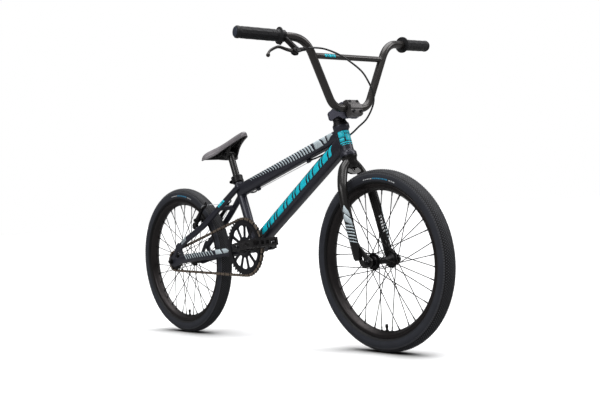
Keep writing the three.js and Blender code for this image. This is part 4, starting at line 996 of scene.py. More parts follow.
def valve_shape():
    """A Schrader stem pointing at the axle, with its ring nut and cap."""
    shape = Shape()
    shape.lathe([[0, 0], [2.9, 0], [3.1, 0.8], [3.1, 9], [3.7, 9.6], [3.7, 18], [0, 18]], (0, 0, -176),
                (0, 0, -1), 20)
    shape.lathe([[3.0, 0], [5.2, 0], [5.2, 2.4], [3.0, 2.8], [3.0, 0]], (0, 0, -188.2), (0, 0, -1), 6)
    ribs = lambda j, angle: 0.28 * math.cos(12 * angle) if j in (2, 3) else 0
    shape.lathe([[0, -0.5], [2.8, 0], [3.9, 1.2], [3.9, 9.5], [3.4, 10], [0, 10]], (0, 0, -171.8), (0, 0, -1),
                48, 0, ribs)
    return shape


def axle_shape(half, overhang):
    """A threaded axle with its cones and locknuts."""
    shape = Shape()
    profile = [[0, -half - overhang], [4.2, -half - overhang]]
    thread = []
    for k in range(int((overhang - 2) / THREAD_PITCH)):
        thread += [[4.75, 0.9 + THREAD_PITCH * k], [4.4, 1.5 + THREAD_PITCH * k]]
    profile += [[r, -half - overhang + s] for r, s in thread]
    profile += [[4.6, -half], [8.0, -half + 0.3], [8.2, -half + 1], [8.2, -half + 5.5], [7.4, -half + 6],
                [8.2, -half + 6.5], [8.2, -34],
                [4.7, -30], [4.7, 30], [8.2, 34], [8.2, half - 6.5], [7.4, half - 6], [8.2, half - 5.5],
                [8.2, half - 1], [8.0, half - 0.3], [4.6, half]]
    profile += [[r, half + overhang - s] for r, s in reversed(thread)]
    profile += [[4.2, half + overhang], [0, half + overhang]]
    return shape.lathe(profile, (0, 0, 0), LEFT, 28)


def nut_shape(side, face):
    """A flanged axle nut."""
    shape = Shape()
    direction = (0, side, 0)
    at = Vector((0, side * face, 0))
    shape.lathe([[5.3, 0.0], [10.4, 0.0], [10.6, 0.5], [10.6, 1.6], [9.2, 2.2], [5.3, 2.2], [5.3, 0.0]], at,
                direction, 36)
    place = lambda x, z, y: Vector((x, side * (face + y), z))
    shape.prism(ring(0, 0, 8.7, 6), 2.0, 8.6, place, [drilled(0, 0, 5.2, 20)])
    shape.lathe([[5.2, 8.0], [7.2, 8.0], [6.9, 9.2], [5.2, 9.4], [5.2, 8.0]], at, direction, 30)
    return shape


for end, at, right, half, seat, dropout, holder in (("front", FRONT, -FLANGE_Y, 42.0, 13.0, 50, "steering"),
                                                    ("rear", REAR, -31.0, 49.5, 17.0, 55, "frame")):
    def wheel_piece(name, shape, material, body=end + "_wheel", **settings):
        shape.points = [p + at for p in shape.points]
        make(end + name, shape, material, body, **settings)

    wheel_piece("_tyre_casing", tyre_shape(), TYRE_RUBBER, replaces=[end + "_tyre"], slot="tyre_rubber",
                sharp=50)
    wheel_piece("_tyre_tread", tread_shape(), LIGHTENED_TREAD_RUBBER, slot="tyre_rubber", sharp=25)
    wheel_piece("_tyre_marks", tyre_marks(), [BLUE_INK, WHITE_INK], slot="tyre_rubber", sharp=25)
    wheel_piece("_rim_hoop", rim_shape(), RIM_ALLOY, replaces=[end + "_rim"], slot="black_metal", sharp=40)
    for side, word, hub_y in ((-1, "right", right), (1, "left", FLANGE_Y)):
        wheel_piece("_laced_" + word, spokes_shape(hub_y, side * 3.0), SPOKE_STEEL,
                    replaces=[end + "_spokes_" + word], slot="spoke_steel", sharp=50)
        wheel_piece("_nipples_" + word, nipples_shape(side * 3.0, side), BLACK_ALLOY, slot="black_metal")
        wheel_piece("_nut_" + word, nut_shape(side, dropout + 5.3), DARK_STEEL, holder,
                    replaces=[end + "_axle_nut_" + word], slot="dark_steel", bevel=0.3)
    wheel_piece("_hub_shell", hub_shape(right, FLANGE_Y, half, seat), BLACK_ALLOY, replaces=[end + "_hub"],
                slot="black_metal", sharp=25)
    wheel_piece("_valve_stem", valve_shape(), PEDAL_PLASTIC, replaces=[end + "_valve"], slot="black_rubber")
    wheel_piece("_axle_rod", axle_shape(dropout - 0.3, 17.6), DARK_STEEL, holder, replaces=[end + "_axle"],
                slot="dark_steel", sharp=25)


# ---------------------------------------------------------------- drive
def rounded(outline, radius, steps=4):
    """A closed outline with its corners rounded off."""
    points = [Vector(p).to_2d() for p in outline]
    out = []
    for i, p in enumerate(points):
        before, after = points[i - 1] - p, points[(i + 1) % len(points)] - p
        reach = min(radius, before.length * 0.45, after.length * 0.45)
        a, b = p + before.normalized() * reach, p + after.normalized() * reach
        for k in range(steps + 1):
            t = k / steps
            q = a * (1 - t) ** 2 + p * 2 * t * (1 - t) + b * t * t
            out.append((q.x, q.y))
    return out


CHAIN_TILT = math.atan2(CRANK.z - REAR.z, CRANK.x - REAR.x)
CHAIN_SPAN = math.hypot(CRANK.z - REAR.z, CRANK.x - REAR.x)
RING_PITCH = CHAIN_PITCH / (2 * math.sin(math.pi / RING_TEETH))
COG_PITCH = CHAIN_PITCH / (2 * math.sin(math.pi / COG_TEETH))
CHAIN_WRAP = math.pi - math.acos((RING_PITCH - COG_PITCH) / CHAIN_SPAN)
RING_RUN = 2 * CHAIN_WRAP * RING_PITCH
COG_RUN = 2 * (math.pi - CHAIN_WRAP) * COG_PITCH
STRAIGHT_RUN = math.sqrt(CHAIN_SPAN ** 2 - (RING_PITCH - COG_PITCH) ** 2)
CHAIN_LOOP = RING_RUN + COG_RUN + 2 * STRAIGHT_RUN
LINKS = round(CHAIN_LOOP / CHAIN_PITCH / 2) * 2
LINK = CHAIN_LOOP / LINKS


def chain_at(s):
    """A point on the chain's line, from where it meets the underside of the chainring, as (x, z)."""
    s %= CHAIN_LOOP

    def on(at, radius, angle):
        return Vector((at.x + radius * math.cos(angle), at.z + radius * math.sin(angle)))

    if s < RING_RUN:
        return on(CRANK, RING_PITCH, CHAIN_TILT - CHAIN_WRAP + s / RING_PITCH)
    s -= RING_RUN
    top = CHAIN_TILT + CHAIN_WRAP
    if s < STRAIGHT_RUN:
        return on(CRANK, RING_PITCH, top).lerp(on(REAR, COG_PITCH, top), s / STRAIGHT_RUN)
    s -= STRAIGHT_RUN
    if s < COG_RUN:
        return on(REAR, COG_PITCH, top + s / COG_PITCH)
    s -= COG_RUN
    low = CHAIN_TILT - CHAIN_WRAP
    return on(REAR, COG_PITCH, low).lerp(on(CRANK, RING_PITCH, low), s / STRAIGHT_RUN)


def chain_shape():
    """Links with waisted side plates, rollers and riveted pins."""
    shape = Shape()
    for k in range(LINKS):
        a, b = chain_at(k * LINK), chain_at((k + 1) * LINK)
        along = (b - a).normalized()
        across = Vector((-along.y, along.x))
        outer = k % 2 == 0
        radius = 4.3 if outer else 3.8
        outline = []
        for end, start in ((b, -90), (a, 90)):
            for i in range(7):
                angle = math.radians(start + 30 * i)
                outline.append(end + along * (radius * math.cos(angle)) + across * (radius * math.sin(angle)))
            middle = (a + b) / 2 + across * (2.7 if end is b else -2.7)
            outline.append(middle)
        flat = [(p.x, p.y) for p in outline]
        for side in (-1, 1):
            low, high = (2.95, 3.95) if outer else (1.85, 2.85)
            shape.prism(flat, CHAIN_Y + side * low, CHAIN_Y + side * high, side_place, slot=0 if outer else 1)
        pin = Vector((a.x, CHAIN_Y, a.y))
        shape.lathe([[0, -4.45], [1.3, -4.45], [1.75, -4.1], [1.75, 4.1], [1.3, 4.45], [0, 4.45]], pin, LEFT,
                    10)
        shape.lathe([[0, -1.8], [3.9, -1.8], [3.9, 1.8], [0, 1.8]], pin, LEFT, 14, 1)
    return shape


def teeth(at, count, phase):
    """A sprocket's outline: round valleys for the rollers and short flat-topped teeth."""
    pitch_radius = CHAIN_PITCH / (2 * math.sin(math.pi / count))
    out = []
    for i in range(count):
        a = phase + 2 * math.pi * i / count
        radial = Vector((math.cos(a), math.sin(a)))
        tangent = Vector((-radial.y, radial.x))
        centre_2d = Vector((at.x, at.z)) + radial * pitch_radius
        for degrees in (-62, -34, 0, 34, 62):
            t = math.radians(degrees)
            p = centre_2d - radial * (4.05 * math.cos(t)) + tangent * (4.05 * math.sin(t))
            out.append((p.x, p.y))
        tip = a + math.pi / count
        for offset in (-0.95, 0.95):
            r = pitch_radius + 2.5
            out.append((at.x + r * math.cos(tip + offset / r), at.z + r * math.sin(tip + offset / r)))
    return out


def chainring_shape():
    """Teeth, eleven rounded windows between tapered arms, and a stepped rim and centre."""
    shape = Shape()
    windows = []
    for i in range(11):
        middle = math.radians(102 + 360 / 11 * i)
        half = math.pi / 11
        corners = []
        for r, sign in ((32, -1), (67, -1), (67, 1), (32, 1)):
            spread = half - math.asin(4.6 / r) if r > 40 else half - math.asin(4.2 / r)
            corners.append((CRANK.x + r * math.cos(middle + sign * spread),
                            CRANK.z + r * math.sin(middle + sign * spread)))
        curved = [corners[0], corners[1]]
        curved.append((CRANK.x + 69 * math.cos(middle), CRANK.z + 69 * math.sin(middle)))
        curved += [corners[2], corners[3]]
        windows.append(rounded(curved, 7, 5))
    bore = drilled(CRANK.x, CRANK.z, 14.5, 40)
    outline = teeth(CRANK, RING_TEETH, CHAIN_TILT - CHAIN_WRAP)
    shape.prism(outline, CHAIN_Y - 1.5, CHAIN_Y + 1.5, side_place, windows + [bore])
    for low, high in ((-3.2, -1.4), (1.4, 2.6)):
        shape.lathe([[69.5, low], [78.5, low], [78.5, high], [69.5, high], [69.5, low]],
                    CRANK + LEFT * CHAIN_Y, LEFT, 88)
        shape.lathe([[14.6, low - 0.6], [24, low - 0.6], [26.5, low + 0.6], [26.5, high], [14.6, high],
                     [14.6, low - 0.6]],
                    CRANK + LEFT * CHAIN_Y, LEFT, 56)
    return shape


def freewheel_shape():
    """The cog and its stepped body."""
    shape = Shape()
    first = LINK * math.ceil((RING_RUN + STRAIGHT_RUN) / LINK) - RING_RUN - STRAIGHT_RUN
    phase = CHAIN_TILT + CHAIN_WRAP + first / COG_PITCH
    hole = drilled(REAR.x, REAR.z, 19, 32)
    shape.prism(teeth(REAR, COG_TEETH, phase), CHAIN_Y - 1.5, CHAIN_Y + 1.5, side_place, [hole])
    shape.lathe([[17.7, -50], [21.5, -50], [22, -49.4], [22, -48.6], [24.2, -48.2], [24.2, -43],
                 [25.4, -42.6], [25.4, -38.6],
                 [24.6, -38], [17.7, -38], [17.7, -50]], (REAR.x, 0, REAR.z), LEFT, 56)
    return shape


def cup_shape(side):
    notch = lambda j, angle: -0.9 if j in (3, 4, 5) and math.cos(8 * angle) > 0.55 else 0
    profile = [[9.2, 13], [17, 13], [17, 34.2], [20.2, 34.4], [20.6, 35], [20.6, 37.4], [19.8, 38], [15, 38],
               [14.6, 36.8],
               [11, 36.8], [10.4, 37.6], [9.2, 37.6], [9.2, 13]]
    return Shape().lathe(profile, (CRANK.x, 0, CRANK.z), (0, side, 0), 64, 0, notch)


def spindle_shape():
    profile = [[0, -64], [7.4, -64], [8.5, -63], [8.5, 63], [7.4, 64], [0, 64]]
    return Shape().lathe(profile, (CRANK.x, 0, CRANK.z), LEFT, 32)


def crank_shape(side):
    """A forged arm: flat faces, soft shoulders, an eye for the pedal and a bolt cover at the spindle."""
    shape = Shape()
    eye = Vector((PEDAL[side].x, side * 72.5, PEDAL[side].z))
    root = Vector((CRANK.x, side * 59.5, CRANK.z))
    span = eye - root
    path = [root + Vector((span.x * t, side * y, span.z * t)) for t, y in
            ((0, 0), (0.1, 0.2), (0.25, 1.2), (0.4, 4.2), (0.58, 8.2), (0.75, 11.4), (0.9, 12.7), (1, 13))]

    def half(share):
        waist = 4.6 * math.sin(min(share, 0.85) / 0.85 * math.pi / 2)
        return 7.3 - 1.2 * share, 14.6 - waist + (0.6 if share > 0.9 else 0)

    Sweep(smooth_path(path, 8), half, power=3.2).into(shape, 32)
    axis = (0, side, 0)
    shape.lathe([[9.2, 52], [15, 52], [16.4, 53], [16.4, 65.6], [15.2, 67], [12.6, 67.2], [12, 66.2],
                 [9.2, 66.2], [9.2, 52]],
                (CRANK.x, 0, CRANK.z), axis, 56)
    shape.lathe([[7.7, 66], [11.6, 66], [12.6, 67], [12.6, 78], [11.6, 79], [9.6, 79], [9.2, 78.2],
                 [7.7, 78.2], [7.7, 66]],
                (eye.x, 0, eye.z), axis, 44)
    return shape


def crank_bolt_shape(side):
    """The spindle's bolt with its washer."""
    shape = Shape()
    at = Vector((CRANK.x, side * 64.2, CRANK.z))
    shape.lathe([[0, 0], [8.9, 0], [8.9, 1.4], [8.2, 2], [0, 2]], at, (0, side, 0), 32)
    return shape.bolt(at + LEFT * (side * 1.8), (0, side, 0), 6.4, 5.2, segments=28)


def pedal_axle_shape(side):
    profile = [[0, 66.6], [6.2, 66.6], [7, 67.4], [7, 79.4], [8.6, 79.6], [8.6, 82.4], [7.6, 83], [7.6, 86.6],
               [5, 87], [4.5, 177.5],
               [0, 177.5]]
    return Shape().lathe(profile, (PEDAL[side].x, 0, PEDAL[side].z), (0, side, 0), 28)


PEDAL_PITCH = math.radians(8)


def pedal_shapes(side):
    """A moulded platform: rails, end plates, a waisted core and diagonal webs; and its nubs."""
    body, nubs = Shape(), Shape()
    c, s = math.cos(PEDAL_PITCH), math.sin(PEDAL_PITCH)
    at = PEDAL[side]

    def place(x, z, y):
        return Vector((at.x + x * c - z * s, side * y, at.z + x * s + z * c))

    def across_rail(y, z, x):
        return place(x, z, y)

    rail = rounded(box_outline(88.2, -12, 185.8, 12), 2.5, 3)
    windows = [rounded(box_outline(y0, -6.2, y1, 6.2), 2.4, 3)
               for y0, y1 in ((95, 115), (121.8, 133.8), (140.2, 152.2), (158.8, 179))]
    for low, high in ((38.6, 46.4), (-46.4, -38.6)):
        body.prism(rail, low, high, across_rail, windows)
    plate_outline = rounded([(-46, -7), (-40.5, -11), (-16, -12.2), (16, -12.2), (40.5, -11), (46, -7),
                             (46, 7), (40.5, 11),
                             (16, 12.2), (-16, 12.2), (-40.5, 11), (-46, 7)], 3, 3)
    slots = [rounded(box_outline(x0, -5, x1, 5), 3, 4) for x0, x1 in ((-36, -15), (15, 36))]
    for low, high, hole in ((88, 93.5, 8.6), (180.5, 186, 4.8)):
        bore = drilled(0, 0, hole, 24)
        body.prism(plate_outline, low, high, place, slots + [bore])
    core = rounded(box_outline(-11.5, -10.5, 11.5, 10.5), 5, 4)
    body.prism(core, 92, 182, place, [drilled(0, 0, 6.2, 20)])
    for low, high in ((116, 121), (134.5, 139.5), (153, 158)):
        body.prism(rounded(box_outline(-42, -8, 42, 8), 2, 3), low, high, place)
    for flip in (1, -1):
        for up in (1, -1):
            for k in range(7):
                y = 95 + 14 * k
                foot = place(flip * 40.2, up * 11.2, y)
                direction = place(flip * 40.2, up * 20, y) - foot
                body.lathe([[0, 0], [2.6, 0], [2.2, 1.4], [0, 1.4]], foot, direction, 12)
                nubs.lathe([[0, 0.8], [1.5, 0.8], [1.3, 3.0], [0, 3.3]], foot, direction, 10)
            for y in (106, 130, 144, 168):
                foot = place(flip * 9, up * 10.2, y)
                direction = place(flip * 10.5, up * 20, y) - foot
                nubs.lathe([[0, 0], [1.5, 0], [1.3, 2.2], [0, 2.5]], foot, direction, 10)
    cap_at = place(0, 0, 0)
    body.lathe([[0, 180.2], [7.6, 180.2], [7.6, 186.2], [6.4, 187], [0, 187]], (cap_at.x, 0, cap_at.z),
               (0, side, 0), 24)
    return body, nubs


make("drive_chain", chain_shape(), [CHAIN_STEEL, CHAIN_DARK], "frame", ["chain"], "chain_steel", sharp=35)
make("ring_44", chainring_shape(), DARK_ALLOY, "crankset", ["chainring"], "black_metal", bevel=0.35)
make("ratchet_cog", freewheel_shape(), DARK_STEEL, "freewheel", ["freewheel"], "dark_steel", bevel=0.3)
make("spindle_bar", spindle_shape(), BRIGHT_STEEL, "crankset", ["crank_spindle"], "bright_steel")
for side, word in ((-1, "right"), (1, "left")):
    make("bracket_cup_" + word, cup_shape(side), BLACK_ALLOY, "frame", ["bottom_bracket_cup_" + word],
         "black_metal", sharp=25)
    make("forged_crank_" + word, crank_shape(side), DARK_ALLOY, "crankset", ["crank_arm_" + word],
         "black_metal", sharp=38)
    make("crank_bolt_" + word, crank_bolt_shape(side), DARK_STEEL, "crankset", slot="dark_steel", bevel=0.25)
    make("pedal_spindle_" + word, pedal_axle_shape(side), BRIGHT_STEEL, "crankset", ["pedal_axle_" + word],
         "bright_steel")
    body, nubs = pedal_shapes(side)
    make("platform_" + word, body, PEDAL_PLASTIC, "pedal_" + word, ["pedal_" + word], "pedal_plastic",
         bevel=0.5)
    make("platform_nubs_" + word, nubs, GUNMETAL, "pedal_" + word, slot="pedal_plastic")


# ---------------------------------------------------------------- fork and headset
FORK_PATH = smooth_path([on_head(*p) for p in ((0, 3, 297), (-2, 15, 287), (-4, 29, 273), (-4, 39, 255),
                                               (-3, 47.5, 235),
                                               (-2, 54, 212), (-4, 58, 160), (-6, 59.2, 80), (-8, 59.5, 14))],
                                               5)


def leg_radius(share):
    size = 13.5 - 2.3 * max(0.0, share - 0.45) / 0.55
    end = 1 - max(0.0, share - 0.975) / 0.025
    return (size * (0.72 + 0.28 * math.sqrt(max(0.0, end))),) * 2


FORK_LEG = Sweep(FORK_PATH, leg_radius, across=HEAD_FORWARD)
RIGHT_FORK_LEG = Sweep([mirror(p) for p in FORK_PATH], leg_radius, across=HEAD_FORWARD)


def head_plate(f, s, y):
    """For outlines drawn as seen from the side of the steering: forward, up; the height runs along Y."""
    return on_head(f, y, s)


def fork_shape():
    shape = Shape()
    for leg in (FORK_LEG, RIGHT_FORK_LEG):
        leg.into(shape, 32)
    shape.lathe([[12, 272], [15, 272], [18, 280], [19.6, 290], [20, 299], [21.6, 302.2], [21.6, 304.6],
                 [12, 304.6], [12, 272]],
                HEAD_FOOT, HEAD_UP, 56)
    shape.lathe([[12, 300], [14.3, 300], [14.3, 442.4], [13.6, 443], [12, 443], [12, 300]], HEAD_FOOT,
                HEAD_UP, 40)
    gusset = rounded([(-27, 262), (-10, 256), (10, 256), (27, 262), (12, 292), (-12, 292)], 6, 5)
    hole = drilled(0, 268, 4.2, 24)
    shape.prism(gusset, -1, 6.5, lambda y, s, f: on_head(f, y, s), [hole])
    shape.lathe([[3.4, 5.8], [6.6, 5.8], [6.6, 7.2], [6, 7.8], [3.4, 7.8], [3.4, 5.8]], on_head(0, 0, 268),
                HEAD_FORWARD, 32)
    return shape


def fork_end_shape():
    """Both dropouts: a wide arm down from the leg, a round seat for the nut and a window."""
    shape = Shape()
    outline = [(-11, 62), (2, 60), (6, 48), (14, 34), (26, 17)] + arc(FORK_RAKE, 0, 14, 62, -118, 20)
    outline += [(8, -13), (-2, -9), (-9, 0), (-11, 12)]
    window = rounded([(0, 12), (7.5, 6), (8.5, 14), (3, 31)], 2.4, 4)
    hole = drilled(FORK_RAKE, 0, 5.4, 20)
    shape.prism(outline, 50, 55, head_plate, [list(reversed(window)), hole])
    shape.lathe([[5.4, 49.4], [11.5, 49.4], [11.5, 55.0], [11.2, 55.6], [5.4, 55.6], [5.4, 49.4]], FRONT,
                LEFT, 36)
    return shape.join(shape.mirrored())


def fork_graphics():
    """Two shards and thinning stripes on both legs, and even dashes down the left leg's inner side."""
    pale, white = Shape(), Shape()
    base = FORK_LEG.length - 108
    for leg, turn in ((FORK_LEG, -1), (RIGHT_FORK_LEG, 1)):
        for i in range(6):
            slanted(pale, leg, base + 15 + 9 * i, 4.4 - 0.3 * i, -turn * 4, turn * 124, -11, 0.3)
        for shard in (((-4, 10), (14, 4), (-8, 122), (-24, 80)), ((-26, 20), (-9, 12), (-30, 96), (-46, 60))):
            decal(pale, leg, [(base + s, turn * a) for s, a in shard])
    for i in range(6):
        slanted(white, FORK_LEG, base - 10 + 8.5 * i, 5, 20, 50, 1.5, 0.34)
    return pale, white


def race_shape():
    return Shape().lathe([[14.6, 304.8], [22.6, 304.8], [23.3, 305.4], [23.3, 307.6], [22.8, 308.2],
                          [14.6, 308.2], [14.6, 304.8]],
                         HEAD_FOOT, HEAD_UP, 56)


def cover_shape():
    """The stepped cone over the upper bearing, with a spacer on it."""
    profile = [[14.6, 397.9], [22.6, 397.9], [23.4, 398.8], [23.4, 402.4], [22.6, 403.4], [20.8, 404.6],
               [20.6, 405.6], [18.8, 411.2],
               [17.6, 413.4], [17.6, 413.9], [18.2, 414.3], [18.2, 420.2], [17.8, 420.6], [14.6, 420.6],
               [14.6, 397.9]]
    return Shape().lathe(profile, HEAD_FOOT, HEAD_UP, 56)


make("fork_legs", fork_shape(), BLACK_PAINT, "steering", ["fork"], "black_paint", bevel=0.5, sharp=40)
make("fork_ends", fork_end_shape(), BLACK_PAINT, "steering", slot="black_paint", bevel=0.8, segments=3)
pale_marks, white_marks = fork_graphics()
make("fork_graphics_pale", pale_marks, PALE_INK, "steering", slot="black_paint", solidify=0.1, sharp=60)
make("fork_graphics_white", white_marks, WHITE_INK, "steering", slot="black_paint", solidify=0.1, sharp=60)
make("crown_race", race_shape(), DARK_STEEL, "steering", slot="bright_steel")
make("headset_cone", cover_shape(), BLACK_ALLOY, "steering", ["headset_cover"], "black_metal", sharp=28)


# ---------------------------------------------------------------- stem, handlebar and grips
FACE_BOLTS = ((-13.5, 413), (13.5, 413), (-13.5, 444), (13.5, 444))


def stem_shape():
    """A block body, tapered to the rear, with relief pockets and a clamp slit."""
    shape = Shape()
    outline = [(-21, 426), (-16, 420.9), (16, 420.9), (28, 418.5), (40, 405), (51, 404.4), (51, 419),
               (47.5, 422), (44.6, 426), (43.6, 430),
               (44.6, 434), (47.5, 438), (51, 441), (51, 450.8), (40, 450.8), (26, 447.2), (-16, 446.8),
               (-21, 443)]

    def place(f, s, y):
        share = min(max(f / 28, 0), 1)
        return on_head(f, y * (19 + 6 * share) / 25, s)

    shape.prism(outline, -25, -7.5, place)
    shape.prism(outline, 7.5, 25, place)
    middle = [(-2, 421.4), (16, 421.4), (28, 419), (40, 406), (50, 405.4), (50, 419), (46.6, 422),
              (43.6, 426), (42.6, 430),
              (43.6, 434), (46.6, 438), (50, 441), (50, 450.2), (40, 450.2), (26, 446.6), (-2, 446.2)]
    shape.prism(middle, -8, 8, place)
    shape.lathe([[14.5, 421], [18.5, 421], [18.5, 447], [14.5, 447], [14.5, 421]], HEAD_FOOT, HEAD_UP, 48)
    return shape


def faceplate_shape():
    shape = Shape()
    outline = [(54, 404.4), (66, 402.8), (74.5, 404.6), (76.2, 408), (76.6, 419.5), (79.6, 422),
               (79.6, 432.5), (74.8, 436),
               (69.6, 449), (66, 450.8), (54, 450.8), (54, 441), (60, 439.5), (64.5, 435), (66.4, 430),
               (64.5, 425), (60, 420.5), (54, 419)]
    shape.prism(outline, -21.5, 21.5, head_plate)
    return shape


def stem_bolts_shape():
    shape = Shape()
    for y, s in FACE_BOLTS:
        front = 70.5 if s > 430 else 77.4
        shape.bolt(on_head(front - 2, y, s), HEAD_FORWARD, 4.3, 5.5)
        shape.lathe([[0, 0], [5.3, 0], [5.3, 1], [0, 1]], on_head(front - 2.6, y, s), HEAD_FORWARD, 24)
    return shape


def pinch_bolts_shape():
    shape = Shape()
    for s in (428, 440):
        shape.bolt(on_head(-15, -15, s), (0, -1, 0), 4.2, 4.6)
        shape.lathe([[0, -14], [2.4, -14], [2.4, 14], [0, 14]], on_head(-15, 0, s), LEFT, 16)
    return shape


def cap_shape():
    shape = Shape()
    shape.lathe([[0, 437], [11.4, 437], [11.4, 447], [16.4, 447.2], [17.2, 448], [16.8, 450], [15, 451],
                 [7, 451.2], [5.6, 450.4], [0, 450.4]],
                HEAD_FOOT, HEAD_UP, 48)
    shape.bolt(on_head(0, 0, 449.6), HEAD_UP, 4.6, 3.4)
    return shape


def bend(before, corner, after, tangent, steps=12):
    before, corner, after = Vector(before), Vector(corner), Vector(after)
    a = corner + (before - corner).normalized() * tangent
    b = corner + (after - corner).normalized() * tangent
    shares = [i / steps for i in range(steps + 1)]
    return [a * (1 - t) ** 2 + corner * (2 * t * (1 - t)) + b * t * t for t in shares]


BAR_LOW, BAR_HIGH, BAR_TIP = (55, 64, 430), (110, 153, 607.5), (77.3, 356, 628.1)
BAR_HALF = bend((55, 0, 430), BAR_LOW, BAR_HIGH, 30) + bend(BAR_LOW, BAR_HIGH, BAR_TIP, 44)
BAR_HALF = [on_head(*p) for p in BAR_HALF] + [on_head(*Vector(BAR_HIGH).lerp(Vector(BAR_TIP), 0.6)),
                                              on_head(*BAR_TIP)]
BAR_PATH = [mirror(p) for p in reversed(BAR_HALF)] + BAR_HALF
BAR_ALONG = (on_head(*BAR_TIP) - on_head(*BAR_HIGH)).normalized()
GRIP_LENGTH = 128
BAR_RADIUS, CROSSBAR_RADIUS = 11.1, 8
CROSSBAR_SHARE = 0.754  # how far up the uprights the crossbar stands
CROSSBAR_END = on_head(*Vector(BAR_LOW).lerp(Vector(BAR_HIGH), CROSSBAR_SHARE))
BAR = Sweep(BAR_PATH, BAR_RADIUS, across=HEAD_FORWARD)


def handlebar_shape():
    shape = Shape()
    BAR.into(shape, 40)
    Sweep(straight(mirror(CROSSBAR_END), CROSSBAR_END, 12), CROSSBAR_RADIUS, across=(1, 0, 0)).into(shape, 32)
    return shape


def handlebar_welds():
    """The beads where the crossbar meets the uprights."""
    shape = Shape()
    low, high = on_head(*BAR_LOW), on_head(*BAR_HIGH)
    cross = Sweep(straight(CROSSBAR_END - LEFT * 60, CROSSBAR_END, 10), CROSSBAR_RADIUS, across=(1, 0, 0))
    weld(shape, cross, low, high - low, BAR_RADIUS, 1.3, count=40)
    return shape.join(shape.mirrored())


def bar_mark():
    """A short run of plain slanted blocks on the crossbar."""
    shape = Shape()
    x, _, z = CROSSBAR_END
    sweep = Sweep(straight((x, -100, z), (x, 100, z), 20), CROSSBAR_RADIUS, across=(1, 0, 0))
    at = 6
    for size in (7, 3, 9, 4, 6):
        slanted(shape, sweep, at, size, -34, 22, 1.5, 0.25)
        at += size + 2.4
    return shape


def in_from_tip(distance, side=1):
    p = on_head(*BAR_TIP) - BAR_ALONG * distance
    return Vector((p.x, side * p.y, p.z))


def grip_shape(side):
    """A flanged grip covered with shallow six-sided pads."""
    shape = Shape()
    axis = Vector((BAR_ALONG.x, side * BAR_ALONG.y, BAR_ALONG.z))
    foot = in_from_tip(GRIP_LENGTH, side)
    shape.lathe([[11.4, 0], [22.2, 0], [23, 0.8], [23, 2.8], [22.2, 3.6], [18, 4.4], [16.4, 6], [15.2, 8],
                 [14.9, 10], [14.9, 118],
                 [16, 120], [16.5, 122], [16.5, 126], [15.8, 128.4], [14, 130], [11.4, 130.2], [11.4, 0]],
                 foot, axis, 64)
    u = axis.orthogonal().normalized()
    v = axis.cross(u)
    around, pitch = 6, 17.3
    rows = 7
    for row in range(rows):
        for k in range(around):
            middle = 2 * math.pi * (k + (0.5 if row % 2 else 0)) / around
            along = 20 + row * pitch * 0.866
            rings = []
            for size, radius in ((1.0, 14.2), (1.0, 15.5), (0.93, 15.85)):
                ring = []
                for corner in range(6):
                    turn = math.radians(60 * corner + 30)
                    a = middle + math.cos(turn) * size * pitch * 0.56 / 16.5
                    s = along + math.sin(turn) * size * pitch * 0.56
                    ring.append(foot + axis * s + u * (radius * math.cos(a)) + v * (radius * math.sin(a)))
                rings.append(ring)
            crown = foot + axis * along + (u * math.cos(middle) + v * math.sin(middle)) * 16.2
            points = rings[0] + rings[1] + rings[2] + [crown]
            faces = [tuple(reversed(range(6)))]
            for level in (0, 6):
                faces += [(level + i, level + (i + 1) % 6, level + 6 + (i + 1) % 6,
                           level + 6 + i) for i in range(6)]
            faces += [(12 + i, 12 + (i + 1) % 6, 18) for i in range(6)]
            shape.add(points, faces)
    return shape


def plug_shape(side):
    axis = Vector((BAR_ALONG.x, side * BAR_ALONG.y, BAR_ALONG.z))
    foot = in_from_tip(GRIP_LENGTH, side)
    return Shape().lathe([[0, 128.4], [11.2, 128.4], [11.2, 130], [13.2, 130.3], [13.4, 131.2], [12.4, 132],
                          [7, 132.5], [0, 132.3]],
                         foot, axis, 48)


make("stem_block", stem_shape(), STEM_ALLOY, "steering", ["stem"], "stem_alloy", bevel=1.1, segments=3)
make("stem_front", faceplate_shape(), PLATE_ALLOY, "steering", ["stem_faceplate"], "stem_alloy", bevel=1.1,
     segments=3)
make("stem_screws", stem_bolts_shape(), DARK_STEEL, "steering",
     ["faceplate_bolt_1", "faceplate_bolt_2", "faceplate_bolt_3",
                                                               "faceplate_bolt_4"], "dark_steel", bevel=0.2)
make("stem_pinch_screws", pinch_bolts_shape(), DARK_STEEL, "steering", slot="dark_steel", bevel=0.2)
make("steerer_top_cap", cap_shape(), BLACK_ALLOY, "steering", ["steerer_cap"], "black_metal")
make("bent_bar", handlebar_shape(), BAR_PAINT, "steering", ["handlebar"], "black_paint", sharp=60)
make("bar_welds", handlebar_welds(), BAR_PAINT, "steering", slot="black_paint", sharp=60)
make("bar_badge", bar_mark(), CYAN_INK, "steering", slot="black_paint", solidify=0.1)
PLUG_PLASTIC = polymer("plug_plastic", (0.028, 0.036, 0.055), 0.35, 900, 0.15, coat=0.2,
                       edge=(0.12, 0.15, 0.2))
for side, word in ((-1, "right"), (1, "left")):
    make("soft_grip_" + word, grip_shape(side), GRIP_RUBBER, "steering", ["grip_" + word], "grip_rubber",
         sharp=28)
    make("bar_plug_" + word, plug_shape(side), PLUG_PLASTIC, "steering", slot="grip_rubber")


# ---------------------------------------------------------------- brake lever
LEVER_LEAN = math.radians(19)
LEVER_PULL = Vector((-math.sin(LEVER_LEAN), 0, math.cos(LEVER_LEAN)))
LEVER_TURN = Vector((-LEVER_PULL.z, 0, LEVER_PULL.x))


def on_lever(out, pull, along=0.0):
    p = Vector((118, -210 - out, 561)) + LEVER_PULL * pull + LEVER_TURN * along
    return on_head(*p)


